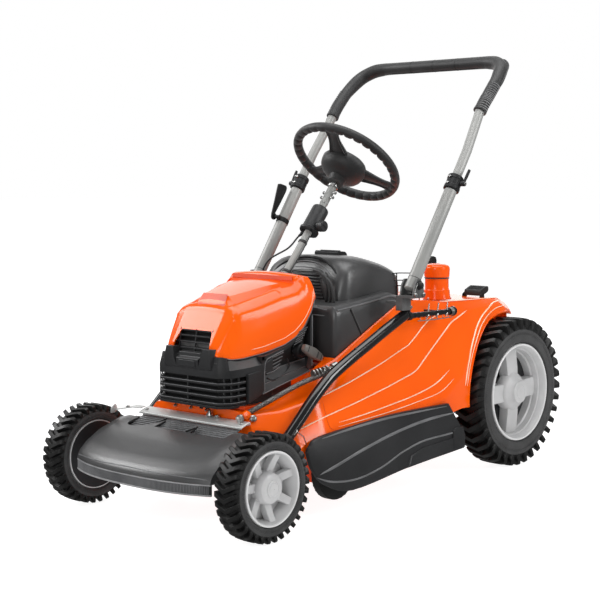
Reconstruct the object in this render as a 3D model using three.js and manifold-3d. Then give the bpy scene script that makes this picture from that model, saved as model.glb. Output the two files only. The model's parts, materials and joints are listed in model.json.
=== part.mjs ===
// Walk-behind lawn mower with a steered front axle and a telescopic folding push bar.
// Millimetres, +Z up, +Y towards the operator, +X to the left of the machine.
// Inside this file Y is counted from the front axle; the outermost group then moves the
// whole machine so that its origin lies on the ground under the middle of its length.

import * as THREE from "three";
import { mergeVertices } from "three/addons/utils/BufferGeometryUtils.js";
import Module from "manifold-3d";

const wasm = await Module();
wasm.setup();

// ---------------------------------------------------------------- driving dimensions

const gap = 0.4;
const originY = 494.5;

const frontTyre = { radius: 105, halfWidth: 28, rimRadius: 72.5, x: 254, sides: 24 };
const rearTyre = { radius: 177, halfWidth: 37, rimRadius: 116, x: 174, y: 930, sides: 28 };
const frontAxle = { y: 0, z: 105, radius: 11, halfSpan: 197 };
const rearAxle = { y: rearTyre.y, z: 177, radius: 10, halfSpan: 204 };

const kingpin = { x: 212, radius: 5, reach: 24 };
const steeringArm = { y: 45, pinRadius: 3.5, pinTop: 118 };
const stubAxle = { radius: 8, end: 275.5 };

const handle = {
  pivotY: 486,
  pivotZ: 457,
  lean: 55.9,
  x: 227,
  lowerRadius: 14,
  lowerBore: 11.7,
  lowerEnd: 240,
  upperRadius: 11,
  upperStart: 140,
  straightEnd: 345,
  gripStart: 453,
  gripX: 218,
  gripRadius: 15,
};

const column = { y: 536, z: 718, tilt: 50.3, radius: 8.5, bore: 6.4, shaftRadius: 6 };
const steeringWheel = { rimRadius: 120, tubeRadius: 11, hubRadius: 50, bossRadius: 17, bossEnd: -60 };
const drum = { middle: -165, halfLength: 33, radius: 19 };

const crank = { y: 180, radius: 11, pulleyRadius: 30, bottom: 150, top: 285 };
const spindle = { y: 440, radius: 9, pulleyRadius: 45, bottom: 70.4, top: 270 };
const pulley = { bottom: 176, top: 194, flange: 3, lip: 4 };
const belt = { bottom: 180.5, top: 189.5, thickness: 6 };
const blade = { reach: 190, halfWidth: 26, bottom: 66, thickness: 4 };

const engineSeatZ = 232;
const boxPocket = { halfWidth: 150, front: 326, back: 592, floor: 303 };
const chamber = { front: 226, back: 656, wall: 6, bottom: 58, frontHalf: 180, backHalf: 196, roof: 222 };
const skirt = { inner: 224.6, outer: 236 };
const gaugeWheel = { radius: 58, halfWidth: 15, x: 200, y: 265, z: 88, bolt: 6 };
const fuel = { x: 100, y: 743, base: 404.8, neckTop: 455, capTop: 487, radius: 30 };

// ---------------------------------------------------------------- finishes

const finishes = {
  orange: { color: 0xff6200, roughness: 0.25, metalness: 0 },
  darkPlastic: { color: 0x2b2c2e, roughness: 0.55, metalness: 0 },
  blackPlastic: { color: 0x141414, roughness: 0.4, metalness: 0 },
  tyre: { color: 0x161616, roughness: 0.8, metalness: 0 },
  greyPlastic: { color: 0xb9babc, roughness: 0.45, metalness: 0.1 },
  silver: { color: 0xbdbebb, roughness: 0.35, metalness: 0.8 },
  steel: { color: 0x8f9194, roughness: 0.4, metalness: 1 },
  blackPaint: { color: 0x101010, roughness: 0.2, metalness: 0.1 },
  rubber: { color: 0x1b1b1b, roughness: 0.9, metalness: 0 },
};

// ---------------------------------------------------------------- shape helpers

// A closed triangle mesh becomes a solid; seams are welded and slivers of no area dropped.
function toSolid(geometry) {
  const bare = geometry.clone();
  bare.deleteAttribute("normal");
  bare.deleteAttribute("uv");
  const welded = mergeVertices(bare, 1e-4);
  const points = welded.attributes.position;
  const corners = Array.from(welded.index.array);
  const kept = [];
  let volume = 0;
  for (let i = 0; i < corners.length; i += 3) {
    const [a, b, c] = corners.slice(i, i + 3);
    if (a === b || b === c || c === a) continue;
    kept.push(a, b, c);
    const va = new THREE.Vector3().fromBufferAttribute(points, a);
    const vb = new THREE.Vector3().fromBufferAttribute(points, b);
    const vc = new THREE.Vector3().fromBufferAttribute(points, c);
    volume += va.dot(vb.cross(vc));
  }
  if (volume < 0) kept.reverse();
  const mesh = new wasm.Mesh({
    numProp: 3,
    vertProperties: new Float32Array(points.array),
    triVerts: new Uint32Array(kept),
  });
  return new wasm.Manifold(mesh);
}

function toGeometry(solid) {
  const mesh = solid.getMesh();
  const geometry = new THREE.BufferGeometry();
  geometry.setAttribute("position", new THREE.BufferAttribute(mesh.vertProperties, 3));
  geometry.setIndex(new THREE.BufferAttribute(mesh.triVerts, 1));
  geometry.computeVertexNormals();
  return geometry;
}

function join(...solids) {
  return solids.reduce((whole, next) => whole.add(next));
}

function cut(solid, ...tools) {
  return tools.reduce((rest, tool) => rest.subtract(tool), solid);
}

// Box between two limits on each axis.
function block([x0, x1], [y0, y1], [z0, z1]) {
  const geometry = new THREE.BoxGeometry(x1 - x0, y1 - y0, z1 - z0);
  geometry.translate((x0 + x1) / 2, (y0 + y1) / 2, (z0 + z1) / 2);
  return toSolid(geometry);
}

// Round bar whose flats lie at the stated radius.
function rod(from, to, radius, sides = 12, endRadius = radius) {
  const start = new THREE.Vector3(...from);
  const axis = new THREE.Vector3(...to).sub(start);
  const length = axis.length();
  const flats = 1 / Math.cos(Math.PI / sides);
  const geometry = new THREE.CylinderGeometry(endRadius * flats, radius * flats, length, sides);
  geometry.rotateY(Math.PI / sides);
  geometry.translate(0, length / 2, 0);
  const turn = new THREE.Quaternion();
  turn.setFromUnitVectors(new THREE.Vector3(0, 1, 0), axis.normalize());
  geometry.applyQuaternion(turn);
  geometry.translate(start.x, start.y, start.z);
  return toSolid(geometry);
}

// Extrusion of a flat outline along X (outline in y, z), Y (x, z) or Z (x, y).
function prism(along, outline, from, to) {
  const shape = new THREE.Shape(outline.map(([u, v]) => new THREE.Vector2(u, v)));
  const geometry = new THREE.ExtrudeGeometry(shape, { depth: to - from, bevelEnabled: false });
  geometry.translate(0, 0, from);
  const x = new THREE.Vector3(1, 0, 0);
  const y = new THREE.Vector3(0, 1, 0);
  const z = new THREE.Vector3(0, 0, 1);
  const bases = { X: [y, z, x], Y: [x, z, y.clone().negate()], Z: [x, y, z] };
  geometry.applyMatrix4(new THREE.Matrix4().makeBasis(...bases[along]));
  return toSolid(geometry);
}

// Outline given for +x only, from top centre round to bottom centre, closed by its mirror image.
function mirrored(half) {
  const other = half.filter(([x]) => x !== 0).map(([x, ...rest]) => [-x, ...rest]);
  return [...half, ...other.reverse()];
}

// Skin through a row of flat closed sections that all have the same number of points.
function loft(sections) {
  const count = sections[0].length;
  const faces = [];
  for (let s = 0; s + 1 < sections.length; s++) {
    for (let i = 0; i < count; i++) {
      const a = s * count + i;
      const b = s * count + ((i + 1) % count);
      faces.push(a, b, b + count, a, b + count, a + count);
    }
  }
  faces.push(...flatEnd(sections[0], 0, false));
  faces.push(...flatEnd(sections.at(-1), (sections.length - 1) * count, true));
  const geometry = new THREE.BufferGeometry();
  geometry.setAttribute("position", new THREE.Float32BufferAttribute(sections.flat(2), 3));
  geometry.setIndex(faces);
  return toSolid(geometry);
}

// Triangles that close one end of a loft, wound with the section or against it.
function flatEnd(section, first, forward) {
  const sameX = section.every(([x]) => Math.abs(x - section[0][0]) < 1e-6);
  const flat = section.map(([x, y, z]) => new THREE.Vector2(sameX ? y : x, z));
  const turnsLeft = THREE.ShapeUtils.area(flat) > 0;
  return THREE.ShapeUtils.triangulateShape(flat, []).flatMap(([a, b, c]) => {
    const follows = THREE.ShapeUtils.area([flat[a], flat[b], flat[c]]) > 0 === turnsLeft;
    return follows === forward ? [first + a, first + b, first + c] : [first + a, first + c, first + b];
  });
}

// Turned piece about an axis parallel to X: profile pairs are [radius, distance along X].
function turned(profile, sides, [x, y, z], outward = 1) {
  const flats = 1 / Math.cos(Math.PI / sides);
  const points = profile.map(([radius, along]) => new THREE.Vector2(radius * flats, along * outward));
  if (profile[0][0] !== 0) points.push(points[0].clone());
  const geometry = new THREE.LatheGeometry(points, sides, Math.PI / sides);
  geometry.rotateZ(-Math.PI / 2);
  geometry.translate(x, y, z);
  return toSolid(geometry);
}

// Turned piece about a vertical axis: profile pairs are [radius, height].
function upright(profile, sides, [x, y, z]) {
  const points = profile.map(([radius, height]) => new THREE.Vector2(radius, height));
  if (profile[0][0] !== 0) points.push(points[0].clone());
  const geometry = new THREE.LatheGeometry(points, sides);
  geometry.rotateX(Math.PI / 2);
  geometry.translate(x, y, z);
  return toSolid(geometry);
}

// A route whose steps fall exactly on its listed points.
class Route extends THREE.CatmullRomCurve3 {
  getUtoTmapping(u) {
    return u;
  }
}

function circle(Kind, radius, sides) {
  const points = [];
  for (let i = 0; i < sides; i++) {
    const angle = ((i + 0.5) * 2 * Math.PI) / sides;
    points.push(new THREE.Vector2(radius * Math.cos(angle), radius * Math.sin(angle)));
  }
  return new Kind(points);
}

function pipe(points, radius, sides = 10, bore = 0) {
  const route = new Route(points.map((point) => new THREE.Vector3(...point)));
  const section = circle(THREE.Shape, radius, sides);
  if (bore > 0) section.holes.push(circle(THREE.Path, bore, sides));
  const options = { steps: points.length - 1, extrudePath: route };
  return toSolid(new THREE.ExtrudeGeometry(section, options));
}

// Evenly spaced points on a smooth curve through a few chosen ones.
function smooth(points, steps) {
  const curve = new THREE.CatmullRomCurve3(points.map((point) => new THREE.Vector3(...point)));
  return curve.getSpacedPoints(steps).map((point) => point.toArray());
}

// ---------------------------------------------------------------- scene assembly

const machine = new THREE.Group();
machine.position.y = -originY;

function add(name, solid, finish) {
  const material = new THREE.MeshStandardMaterial(finishes[finish]);
  const mesh = new THREE.Mesh(toGeometry(solid), material);
  mesh.name = name;
  machine.add(mesh);
}

const bothSides = [
  { side: "left", sign: 1 },
  { side: "right", sign: -1 },
];

function span(sign, a, b) {
  return sign > 0 ? [a, b] : [-b, -a];
}

// ---------------------------------------------------------------- wheels

// Flat spokes between a hub and a barrel, evenly spaced, each a bar along its own radius.
function spokes(count, [inner, outer], halfWidth, [low, high], [x, y, z]) {
  let star = null;
  for (let i = 0; i < count; i++) {
    const angle = (2 * Math.PI * i) / count;
    const across = [Math.cos(angle), -Math.sin(angle)];
    const along = [Math.sin(angle), Math.cos(angle)];
    const corner = (reach, side) => [
      y + reach * along[0] + side * halfWidth * across[0],
      z + reach * along[1] + side * halfWidth * across[1],
    ];
    const outline = [corner(inner, -1), corner(inner, 1), corner(outer, 1), corner(outer, -1)];
    const spoke = prism("X", outline, x + low, x + high);
    star = star ? star.add(spoke) : spoke;
  }
  return star;
}

function frontWheel(side, sign) {
  const { radius, halfWidth, rimRadius, x, sides } = frontTyre;
  const centre = [sign * x, frontAxle.y, frontAxle.z];
  const bead = rimRadius + gap;
  const tyre = [
    [bead, -halfWidth + 4], [92, -halfWidth], [radius, -halfWidth + 8],
    [radius, halfWidth - 8], [92, halfWidth], [bead, halfWidth - 4],
  ];
  add(`front_tyre_${side}`, turned(tyre, sides, centre, sign), "tyre");

  const barrel = [[64, -22], [rimRadius, -24], [rimRadius, 24], [62, 22]];
  const bore = stubAxle.radius + gap;
  const hub = [[0, 22.5], [bore, 22.5], [bore, -18], [18, -18], [18, 22], [11, 29], [0, 30]];
  const web = spokes(7, [14, 66], 7, span(sign, 0, 13), centre);
  const rim = join(turned(barrel, sides, centre, sign), web);
  const socket = rod([sign * (x - 40), 0, frontAxle.z], [sign * (x + 22.5), 0, frontAxle.z], bore, 14);
  add(`front_rim_${side}`, cut(join(rim, turned(hub, 14, centre, sign)), socket), "greyPlastic");
}

function rearWheel(side, sign) {
  const { radius, halfWidth, rimRadius, x, y, sides } = rearTyre;
  const centre = [sign * x, y, rearAxle.z];
  const bead = rimRadius + gap;
  const tyre = [
    [bead, -halfWidth + 5], [162, -halfWidth], [radius, -halfWidth + 11],
    [radius, halfWidth - 11], [162, halfWidth], [bead, halfWidth - 5],
  ];
  add(`rear_tyre_${side}`, turned(tyre, sides, centre, sign), "tyre");

  const barrel = [[106, -31], [rimRadius, -32], [rimRadius, 32], [103, 30]];
  const bore = rearAxle.radius + gap;
  const hub = [[bore, -34], [36, -34], [36, -4], [44, -2], [44, 12], [30, 29], [bore, 29]];
  const web = spokes(4, [24, 110], 23, span(sign, -2, 18), centre);
  const rim = join(turned(barrel, sides, centre, sign), web, turned(hub, 16, centre, sign));
  const socket = rod([sign * (x - 60), y, rearAxle.z], [sign * (x + 60), y, rearAxle.z], bore, 16);
  add(`rear_rim_${side}`, cut(rim, socket), "greyPlastic");
}

// ---------------------------------------------------------------- axles and steering gear

function frontAxleBeam() {
  const { y, z, radius, halfSpan } = frontAxle;
  let beam = rod([-halfSpan, y, z], [halfSpan, y, z], radius);
  const arm = [[-6, 112], [8, 112], [77, 142], [77, 165], [-6, 122]];
  for (const { sign } of bothSides) {
    const [plateIn, plateOut] = span(sign, 190, 219);
    const upper = block([plateIn, plateOut], [-12, 12], [z + 16.4, z + 22]);
    const lower = block([plateIn, plateOut], [-12, 12], [z - 22, z - 16.4]);
    const back = block(span(sign, 190, 198), [-12, 12], [z - 20, z + 20]);
    const bore = rod([sign * kingpin.x, y, z - 30], [sign * kingpin.x, y, z + 30], kingpin.radius + gap, 12);
    beam = cut(join(beam, upper, lower, back, prism("X", arm, ...span(sign, 58, 70))), bore);
  }
  add("front_axle", beam, "blackPaint");
}

function knuckle(side, sign) {
  const { z } = frontAxle;
  const x = sign * kingpin.x;
  const body = block(span(sign, 205, 219), [-9, 9], [z - 16, z + 16]);
  const pin = rod([x, 0, z - kingpin.reach], [x, 0, z + kingpin.reach], kingpin.radius, 12);
  const stub = rod([x, 0, z], [sign * stubAxle.end, 0, z], stubAxle.radius, 16);
  const arm = block(span(sign, 208, 216), [0, steeringArm.y + 5], [z - 8, z]);
  const armPin = rod([x, steeringArm.y, z - 4], [x, steeringArm.y, steeringArm.pinTop], steeringArm.pinRadius, 10);
  add(`knuckle_${side}`, join(body, pin, stub, arm, armPin), "steel");
}

function tieRod() {
  const low = frontAxle.z + 2;
  const high = low + 8;
  let bar = rod([-kingpin.x, steeringArm.y, low + 4], [kingpin.x, steeringArm.y, low + 4], 3.6, 8);
  for (const { sign } of bothSides) {
    const x = sign * kingpin.x;
    const eye = rod([x, steeringArm.y, low], [x, steeringArm.y, high], 9, 12);
    const hole = rod([x, steeringArm.y, low - 5], [x, steeringArm.y, high + 5], 5.4, 12);
    bar = cut(join(bar, eye), hole);
  }
  add("tie_rod", bar, "steel");
}

function rearAxleBar() {
  const { y, z, radius, halfSpan } = rearAxle;
  let bar = rod([-halfSpan, y, z], [halfSpan, y, z], radius);
  for (const { sign } of bothSides) {
    bar = join(bar, rod([sign * (halfSpan - 0.4), y, z], [sign * (halfSpan + 5), y, z], 17));
  }
  add("rear_axle", bar, "steel");
}

// ---------------------------------------------------------------- deck and body

// Half sections of the body: y, the height of the hollow's roof, then [x, z] from the top
// centre to the bottom edge.
const bodySections = [
  { y: 78, roof: chamber.roof, half: [[0, 224], [100, 224], [128, 218], [148, 196], [156, 160], [156, 128]] },
  { y: 140, roof: chamber.roof, half: [[0, 232], [112, 232], [168, 222], [196, 180], [214, 150], [214, 128]] },
  { y: 215, roof: chamber.roof, half: [[0, 252], [130, 252], [196, 240], [212, 204], [224, 168], [224, 136]] },
  { y: 330, roof: chamber.roof, half: [[0, 312], [153, 312], [190, 264], [206, 222], [224, 172], [224, 140]] },
  { y: 345, roof: 290, half: [[0, 319], [153, 319], [189, 267], [205, 225], [224, 173], [224, 140]] },
  { y: 440, roof: 290, half: [[0, 366], [154, 366], [181, 290], [198, 241], [224, 180], [224, 142]] },
  { y: 550, roof: 290, half: [[0, 418], [153, 418], [172, 322], [188, 262], [224, 190], [224, 150]] },
  { y: 625, roof: 299, half: [[0, 412], [150, 412], [162, 366], [178, 308], [218, 200], [218, 160]] },
  { y: 700, roof: 397, half: [[0, 404], [146, 404], [157, 386], [172, 357], [205, 235], [205, 165]] },
  { y: 771, roof: 396, half: [[0, 402], [142, 402], [150, 392], [165, 380], [190, 310], [190, 160]] },
  { y: 857, roof: 394, half: [[0, 400], [138, 400], [146, 394], [163, 382], [168, 366], [168, 160]] },
  { y: 930, roof: 392, half: [[0, 398], [133, 398], [141, 393], [157, 381], [163, 367], [163, 160]] },
  { y: 985, roof: 378, half: [[0, 386], [118, 386], [127, 380], [140, 366], [146, 352], [146, 170]] },
];

function outerBody() {
  return loft(bodySections.map(({ y, half }) => mirrored([...half, [0, half.at(-1)[1]]]).map(([x, z]) => [x, y, z])));
}

// The hollow below: the same sections moved in by the wall, under a flat roof, open downwards.
function bodyHollow() {
  const wall = 5;
  const sections = bodySections.map(({ y, roof, half }, index) => {
    const moved = half.map(([x, z], k) => {
      const inX = Math.max(x - wall, 0) + k * 0.01;
      const shallow = Math.min(z - wall, roof - k * 0.5);
      return [Math.min(inX, y > 740 ? 122 + k * 0.3 : inX), shallow];
    });
    moved[0] = [0, roof];
    moved[moved.length - 1][1] = 20;
    const first = index === 0 ? wall : 0;
    const last = index === bodySections.length - 1 ? -wall : 0;
    return mirrored([...moved, [0, 20]]).map(([x, z]) => [x, y + first + last, z]);
  });
  return loft(sections);
}

function deckShell() {
  const { front, back, wall, bottom, frontHalf, backHalf, roof } = chamber;
  let shell = cut(outerBody(), bodyHollow());
  const frontWall = block([-frontHalf, frontHalf], [front, front + wall], [bottom, roof + 2]);
  const backWall = block([-backHalf, backHalf], [back, back + wall], [bottom, 292]);
  const beltSlot = block([-62, 62], [front - 5, front + wall + 5], [pulley.bottom - 8, pulley.top + 8]);
  shell = join(shell, cut(frontWall, beltSlot), backWall);
  const seat = block([-125, 125], [70, 322], [engineSeatZ, 400]);
  const pocket = block(
    [-boxPocket.halfWidth - gap, boxPocket.halfWidth + gap],
    [boxPocket.front - gap, boxPocket.back + gap],
    [boxPocket.floor - gap, 500],
  );
  const crankHole = rod([0, crank.y, 100], [0, crank.y, 300], crank.radius + 4);
  const axleHole = rod([-220, rearAxle.y, rearAxle.z], [220, rearAxle.y, rearAxle.z], rearAxle.radius + gap);
  const leverSlot = block([-13, 13], [818, 872], [360, 420]);
  shell = cut(shell, seat, pocket, crankHole, axleHole, leverSlot);
  for (const { sign } of bothSides) {
    const well = rod([sign * 131, rearTyre.y, rearAxle.z], [sign * 260, rearTyre.y, rearAxle.z], 187, 28);
    const tube = pipe(frameRoute(sign), frameTube.radius + 1.5, 10);
    shell = cut(shell, well, tube);
  }
  add("deck_shell", shell, "orange");
}

function sideSkirt(side, sign) {
  const outline = [
    [150, 145], [184, 171], [300, 181], [426, 189], [615, 189], [645, 152],
    [676, 112], [674, 82], [459, 66], [289, 48], [205, 72], [166, 108],
  ];
  const panel = prism("X", outline, ...span(sign, skirt.inner, skirt.outer));
  const { x, y, z, halfWidth, bolt } = gaugeWheel;
  const head = x - halfWidth - 4;
  const shank = rod([sign * (skirt.inner + 3), y, z], [sign * head, y, z], bolt, 12);
  const cap = rod([sign * head, y, z], [sign * (head + 3.4), y, z], bolt + 4, 12);
  const shoulder = rod([sign * (skirt.inner + 3), y, z], [sign * (x + halfWidth + 1), y, z], bolt + 6, 12);
  add(`skirt_${side}`, join(panel, shank, cap, shoulder), "blackPlastic");
}

function gaugeRoller(side, sign) {
  const { radius, halfWidth, x, y, z, bolt } = gaugeWheel;
  const bore = bolt + gap;
  const profile = [
    [bore, -halfWidth], [radius - 6, -halfWidth], [radius, -halfWidth + 5],
    [radius, halfWidth - 5], [radius - 6, halfWidth], [bore, halfWidth],
  ];
  add(`gauge_wheel_${side}`, turned(profile, 16, [sign * x, y, z], sign), "rubber");
}

// ---------------------------------------------------------------- front end

const noseHeights = [[0, 113], [0.012, 121], [0.06, 131], [0.2, 147], [0.5, 169], [1, 190]];
const cover = { halfWidth: 195, nose: -118, sweep: 38, back: 41, wall: 4 };

function noseY(x) {
  return cover.nose + cover.sweep * (Math.abs(x) / cover.halfWidth) ** 2.6;
}

function coverCurve(x, inset) {
  const nose = noseY(x);
  return noseHeights.map(([along, z]) => [x, nose + (cover.back - nose) * along + inset, z - inset * (along > 0.03 ? 1 : 0)]);
}

function frontCover() {
  const stations = [-195, -165, -110, 0, 110, 165, 195];
  const skin = loft(stations.map((x) => [...coverCurve(x, 0), ...coverCurve(x, cover.wall).reverse()]));
  let whole = skin;
  for (const { sign } of bothSides) {
    const edge = coverCurve(cover.halfWidth, 0.5).map(([, y, z]) => [y, z]);
    const side = prism("X", [...edge, [cover.back, 119], [-40, 119]], ...span(sign, 191, 195));
    const lug = block(span(sign, 96, 108), [-5, 5], [frontAxle.z + frontAxle.radius + 0.8, 176]);
    whole = join(whole, side, lug);
  }
  const window = block([-142, 142], [6, 60], [140, 220]);
  const yokeRoom = [block([187, 200], [-14, 14], [100, 129.5]), block([-200, -187], [-14, 14], [100, 129.5])];
  add("front_cover", cut(whole, window, ...yokeRoom), "darkPlastic");
}

function frontBand() {
  const stations = [-195, -165, -110, 0, 110, 165, 195];
  const strip = stations.map((x) => {
    const y = noseY(x);
    return [[x, y, 90], [x, y, 112.5], [x, y + 5, 112.5], [x, y + 5, 90]];
  });
  add("front_band", loft(strip), "blackPlastic");
}

function frontScreen() {
  const outline = [[7, 171], [9, 168], [52, 190], [52, 195]];
  add("front_screen", prism("X", outline, -141, 141), "blackPlastic");
}

function frontStrip() {
  const outline = [[48, 197], [52.5, 196], [74, 205], [74, 208], [50, 200.5]];
  const lug = block([-150, 150], [66, 77.5], [200, 205]);
  add("front_strip", join(prism("X", outline, -150, 150), lug), "silver");
}

// ---------------------------------------------------------------- frame tubes and pivots

const frameTube = { radius: 12, x: 203 };

function frameRoute(sign) {
  const route = [
    [118, 170], [158, 206], [201, 245], [240, 275], [262, 288],
    [286, 300], [320, 316], [379, 342], [430, 365], [494, 392],
  ];
  return route.map(([y, z]) => [sign * frameTube.x, y, z]);
}

function frameSide(side, sign) {
  add(`frame_tube_${side}`, pipe(frameRoute(sign), frameTube.radius, 12), "blackPaint");
}

function pivotBracket(side, sign) {
  const { x, pivotY, pivotZ, lowerRadius } = handle;
  const cheek = 4;
  const inner = x - lowerRadius - 1;
  const outer = x + lowerRadius + 1;
  const sideOutline = [[466, 433], [506, 433], [500, 458], [492, 470], [480, 470], [472, 458]];
  const near = prism("X", sideOutline, ...span(sign, outer, outer + cheek));
  const far = prism("X", sideOutline, ...span(sign, inner - cheek, inner));
  const base = block(span(sign, inner - cheek, outer + cheek), [466, 506], [430, 436.5]);
  const stem = block(span(sign, 196, 214), [470, 500], [402, 434]);
  const pin = rod([sign * (inner - 6), pivotY, pivotZ], [sign * (outer + 9), pivotY, pivotZ], 4.5, 12);
  const tube = pipe(frameRoute(sign), frameTube.radius + gap, 12);
  const foot = block(span(sign, 165, 200), [474, 500], [416, 421]);
  add(`pivot_bracket_${side}`, cut(join(near, far, base, stem, pin, foot), tube), "silver");
}

function adjusterRail(side, sign) {
  const z = 388;
  const x = sign * frameTube.x;
  let rail = rod([x, 509, z], [x, 668, z], 6, 8);
  for (const y of [572, 606, 640]) {
    rail = join(rail, rod([x, y, z - 14], [x, y, z + 20], 2.2, 6));
  }
  for (const y of [535, 624]) {
    rail = join(rail, rod([x, y, z], [sign * 150, y, z], 4, 6));
  }
  rail = join(rail, rod([x, 662, z], [x, 668, z], 11, 10));
  const body = outerBody();
  const swollen = body.add(body.translate([sign * 0.6, 0, 0]));
  add(`adjuster_rail_${side}`, cut(rail, swollen), "blackPaint");
}

// ---------------------------------------------------------------- engine and drive

function engineBlock() {
  const low = engineSeatZ + gap;
  const crankcase = block([-76, 76], [96, 272], [low, 300]);
  const head = block([-48, 48], [72, 200], [290, 352]);
  const airBox = block([-60, 60], [150, 262], [300, 398]);
  const bore = rod([0, crank.y, 200], [0, crank.y, crank.top + 6], crank.radius + gap);
  add("engine_block", cut(join(crankcase, head, airBox), bore), "steel");
}

// Grooved pulley on a vertical axis.
function pulleyAt(y, radius) {
  const { bottom, top, flange, lip } = pulley;
  const profile = [
    [0, bottom], [radius + lip, bottom], [radius + lip, bottom + flange], [radius, bottom + flange],
    [radius, top - flange], [radius + lip, top - flange], [radius + lip, top], [0, top],
  ];
  return upright(profile, 16, [0, y, 0]);
}

function crankshaft() {
  const shaft = rod([0, crank.y, crank.bottom], [0, crank.y, crank.top], crank.radius);
  add("crankshaft", join(shaft, pulleyAt(crank.y, crank.pulleyRadius)), "steel");
}

function spindleParts() {
  const { y, radius, bottom, top, pulleyRadius } = spindle;
  const bolt = { radius: 5, top: 92 };
  const shaft = rod([0, y, bottom], [0, y, top], radius);
  const collar = rod([0, y, bottom], [0, y, bottom + 10], 18);
  const thread = rod([0, y, bottom - 5], [0, y, bolt.top + 4], bolt.radius + gap, 12);
  add("blade_spindle", cut(join(shaft, collar, pulleyAt(y, pulleyRadius)), thread), "steel");

  const bladeTop = blade.bottom + blade.thickness;
  const outline = [];
  for (const sign of [1, -1]) {
    outline.push([sign * blade.reach, y - sign * blade.halfWidth * 0.6]);
    outline.push([sign * blade.reach, y + sign * blade.halfWidth]);
    outline.push([sign * 120, y + sign * blade.halfWidth]);
  }
  let bar = prism("Z", outline, blade.bottom, bladeTop);
  for (const sign of [1, -1]) {
    const wing = [[sign * 130, y + sign * 20], [sign * 188, y + sign * 20], [sign * 188, y + sign * 26], [sign * 130, y + sign * 26]];
    bar = join(bar, prism("Z", wing, blade.bottom + 1, bladeTop + 9));
  }
  add("blade", cut(bar, rod([0, y, 50], [0, y, 90], bolt.radius + gap, 12)), "steel");

  const head = rod([0, y, 55], [0, y, blade.bottom - gap], 11, 6);
  const shank = rod([0, y, 60], [0, y, bolt.top], bolt.radius, 12);
  add("blade_bolt", join(head, shank), "steel");

  const flange = rod([0, y, 278], [0, y, 290 - gap], 46, 16);
  const tube = rod([0, y, 206], [0, y, 280], 22, 16);
  const bearingBore = rod([0, y, 190], [0, y, top + 4], radius + gap);
  add("spindle_housing", cut(join(flange, tube), bearingBore), "steel");
}

// Outline of a belt line round two pulleys, swollen by a given amount.
function beltLine(swell) {
  const near = crank.pulleyRadius + swell;
  const far = spindle.pulleyRadius + swell;
  const lean = Math.asin((far - near) / (spindle.y - crank.y));
  const points = [];
  const steps = 10;
  for (let i = 0; i <= steps; i++) {
    const angle = lean * -1 + ((Math.PI + 2 * lean) * i) / steps;
    points.push([far * Math.cos(angle), spindle.y + far * Math.sin(angle)]);
  }
  for (let i = 0; i <= steps; i++) {
    const angle = Math.PI + lean + ((Math.PI - 2 * lean) * i) / steps;
    points.push([near * Math.cos(angle), crank.y + near * Math.sin(angle)]);
  }
  return points;
}

function driveBelt() {
  const outer = prism("Z", beltLine(belt.thickness + 1.4), belt.bottom, belt.top);
  const inner = prism("Z", beltLine(1.4), belt.bottom - 5, belt.top + 5);
  add("drive_belt", cut(outer, inner), "rubber");
}

// ---------------------------------------------------------------- engine shroud and hood

const hoodEdge = [[54, 331], [86, 323], [112, 325], [160, 332], [210, 345], [240, 359], [265, 380], [284, 408], [300, 449]];

function engineShroud() {
  const top = hoodEdge.slice(0, -1).map(([y, z]) => [y, z - 1.2]);
  const sideOutline = [[44, 228], [76, 236], [138, 252], [276, 285], [290, 291], [290, 416], ...top.reverse(), [44, 329.8]];
  const plan = mirrored([[0, 47], [86, 47], [104, 68], [117, 104], [121, 136], [121, 289], [0, 289]]);
  const planInner = mirrored([[0, 51.5], [84, 51.5], [100, 71], [112.6, 105], [116.5, 137], [116.5, 284.5], [0, 284.5]]);
  const wall = prism("Z", plan, 200, 460);
  const hollow = prism("Z", planInner, 190, 470);
  const starterHole = rod([60, starter.y, starter.z], [160, starter.y, starter.z], 4);
  add("engine_shroud", cut(prism("X", sideOutline, -130, 130).intersect(wall), hollow, starterHole), "blackPlastic");
}

const hoodSections = [
  { y: 58, half: [[0, 352], [56, 347], [68, 335], [73, 322], [74, 300]] },
  { y: 68, half: [[0, 378], [60, 372], [77, 354], [84, 330], [85, 300]] },
  { y: 88, half: [[0, 406], [62, 400], [83, 378], [92, 340], [93, 300]] },
  { y: 102, half: [[0, 416], [65, 410], [88, 385], [97, 340], [98, 300]] },
  { y: 150, half: [[0, 436], [74, 429], [99, 403], [108, 350], [109, 300]] },
  { y: 220, half: [[0, 463], [87, 454], [111, 428], [117, 370], [118, 300]] },
  { y: 296, half: [[0, 489], [98, 479], [118, 453], [121, 420], [121, 300]] },
];

function hood() {
  const wall = 4;
  const outer = hoodSections.map(({ y, half }) => mirrored([...half, [0, 300]]).map(([x, z]) => [x, y, z]));
  const inner = hoodSections.map(({ y, half }, index) => {
    const shift = index === 0 ? wall : index === hoodSections.length - 1 ? -wall : 0;
    const moved = half.map(([x, z], k) => [Math.max(x - wall, 0), k === half.length - 1 ? 290 : z - wall]);
    return mirrored([...moved, [0, 290]]).map(([x, z]) => [x, y + shift, z]);
  });
  const above = prism("X", [...hoodEdge, [300, 520], [30, 520]], -140, 140);
  add("hood", cut(loft(outer), loft(inner)).intersect(above), "orange");
}

const starter = { y: 256, z: 329 };

function starterGrip() {
  const { y, z } = starter;
  const grip = turned([[0, 0], [9, 0], [12, 4], [9, 10], [8, 22], [13, 27], [13, 32], [0, 34]], 16, [123, y, z]);
  const cord = rod([72, y, z], [126, y, z], 2, 8);
  add("starter_grip", join(grip, cord), "rubber");
}

// ---------------------------------------------------------------- rear box and its cover

const boxTop = [[334, 417], [420, 426], [512, 437], [560, 424], [592, 405]];

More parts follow.
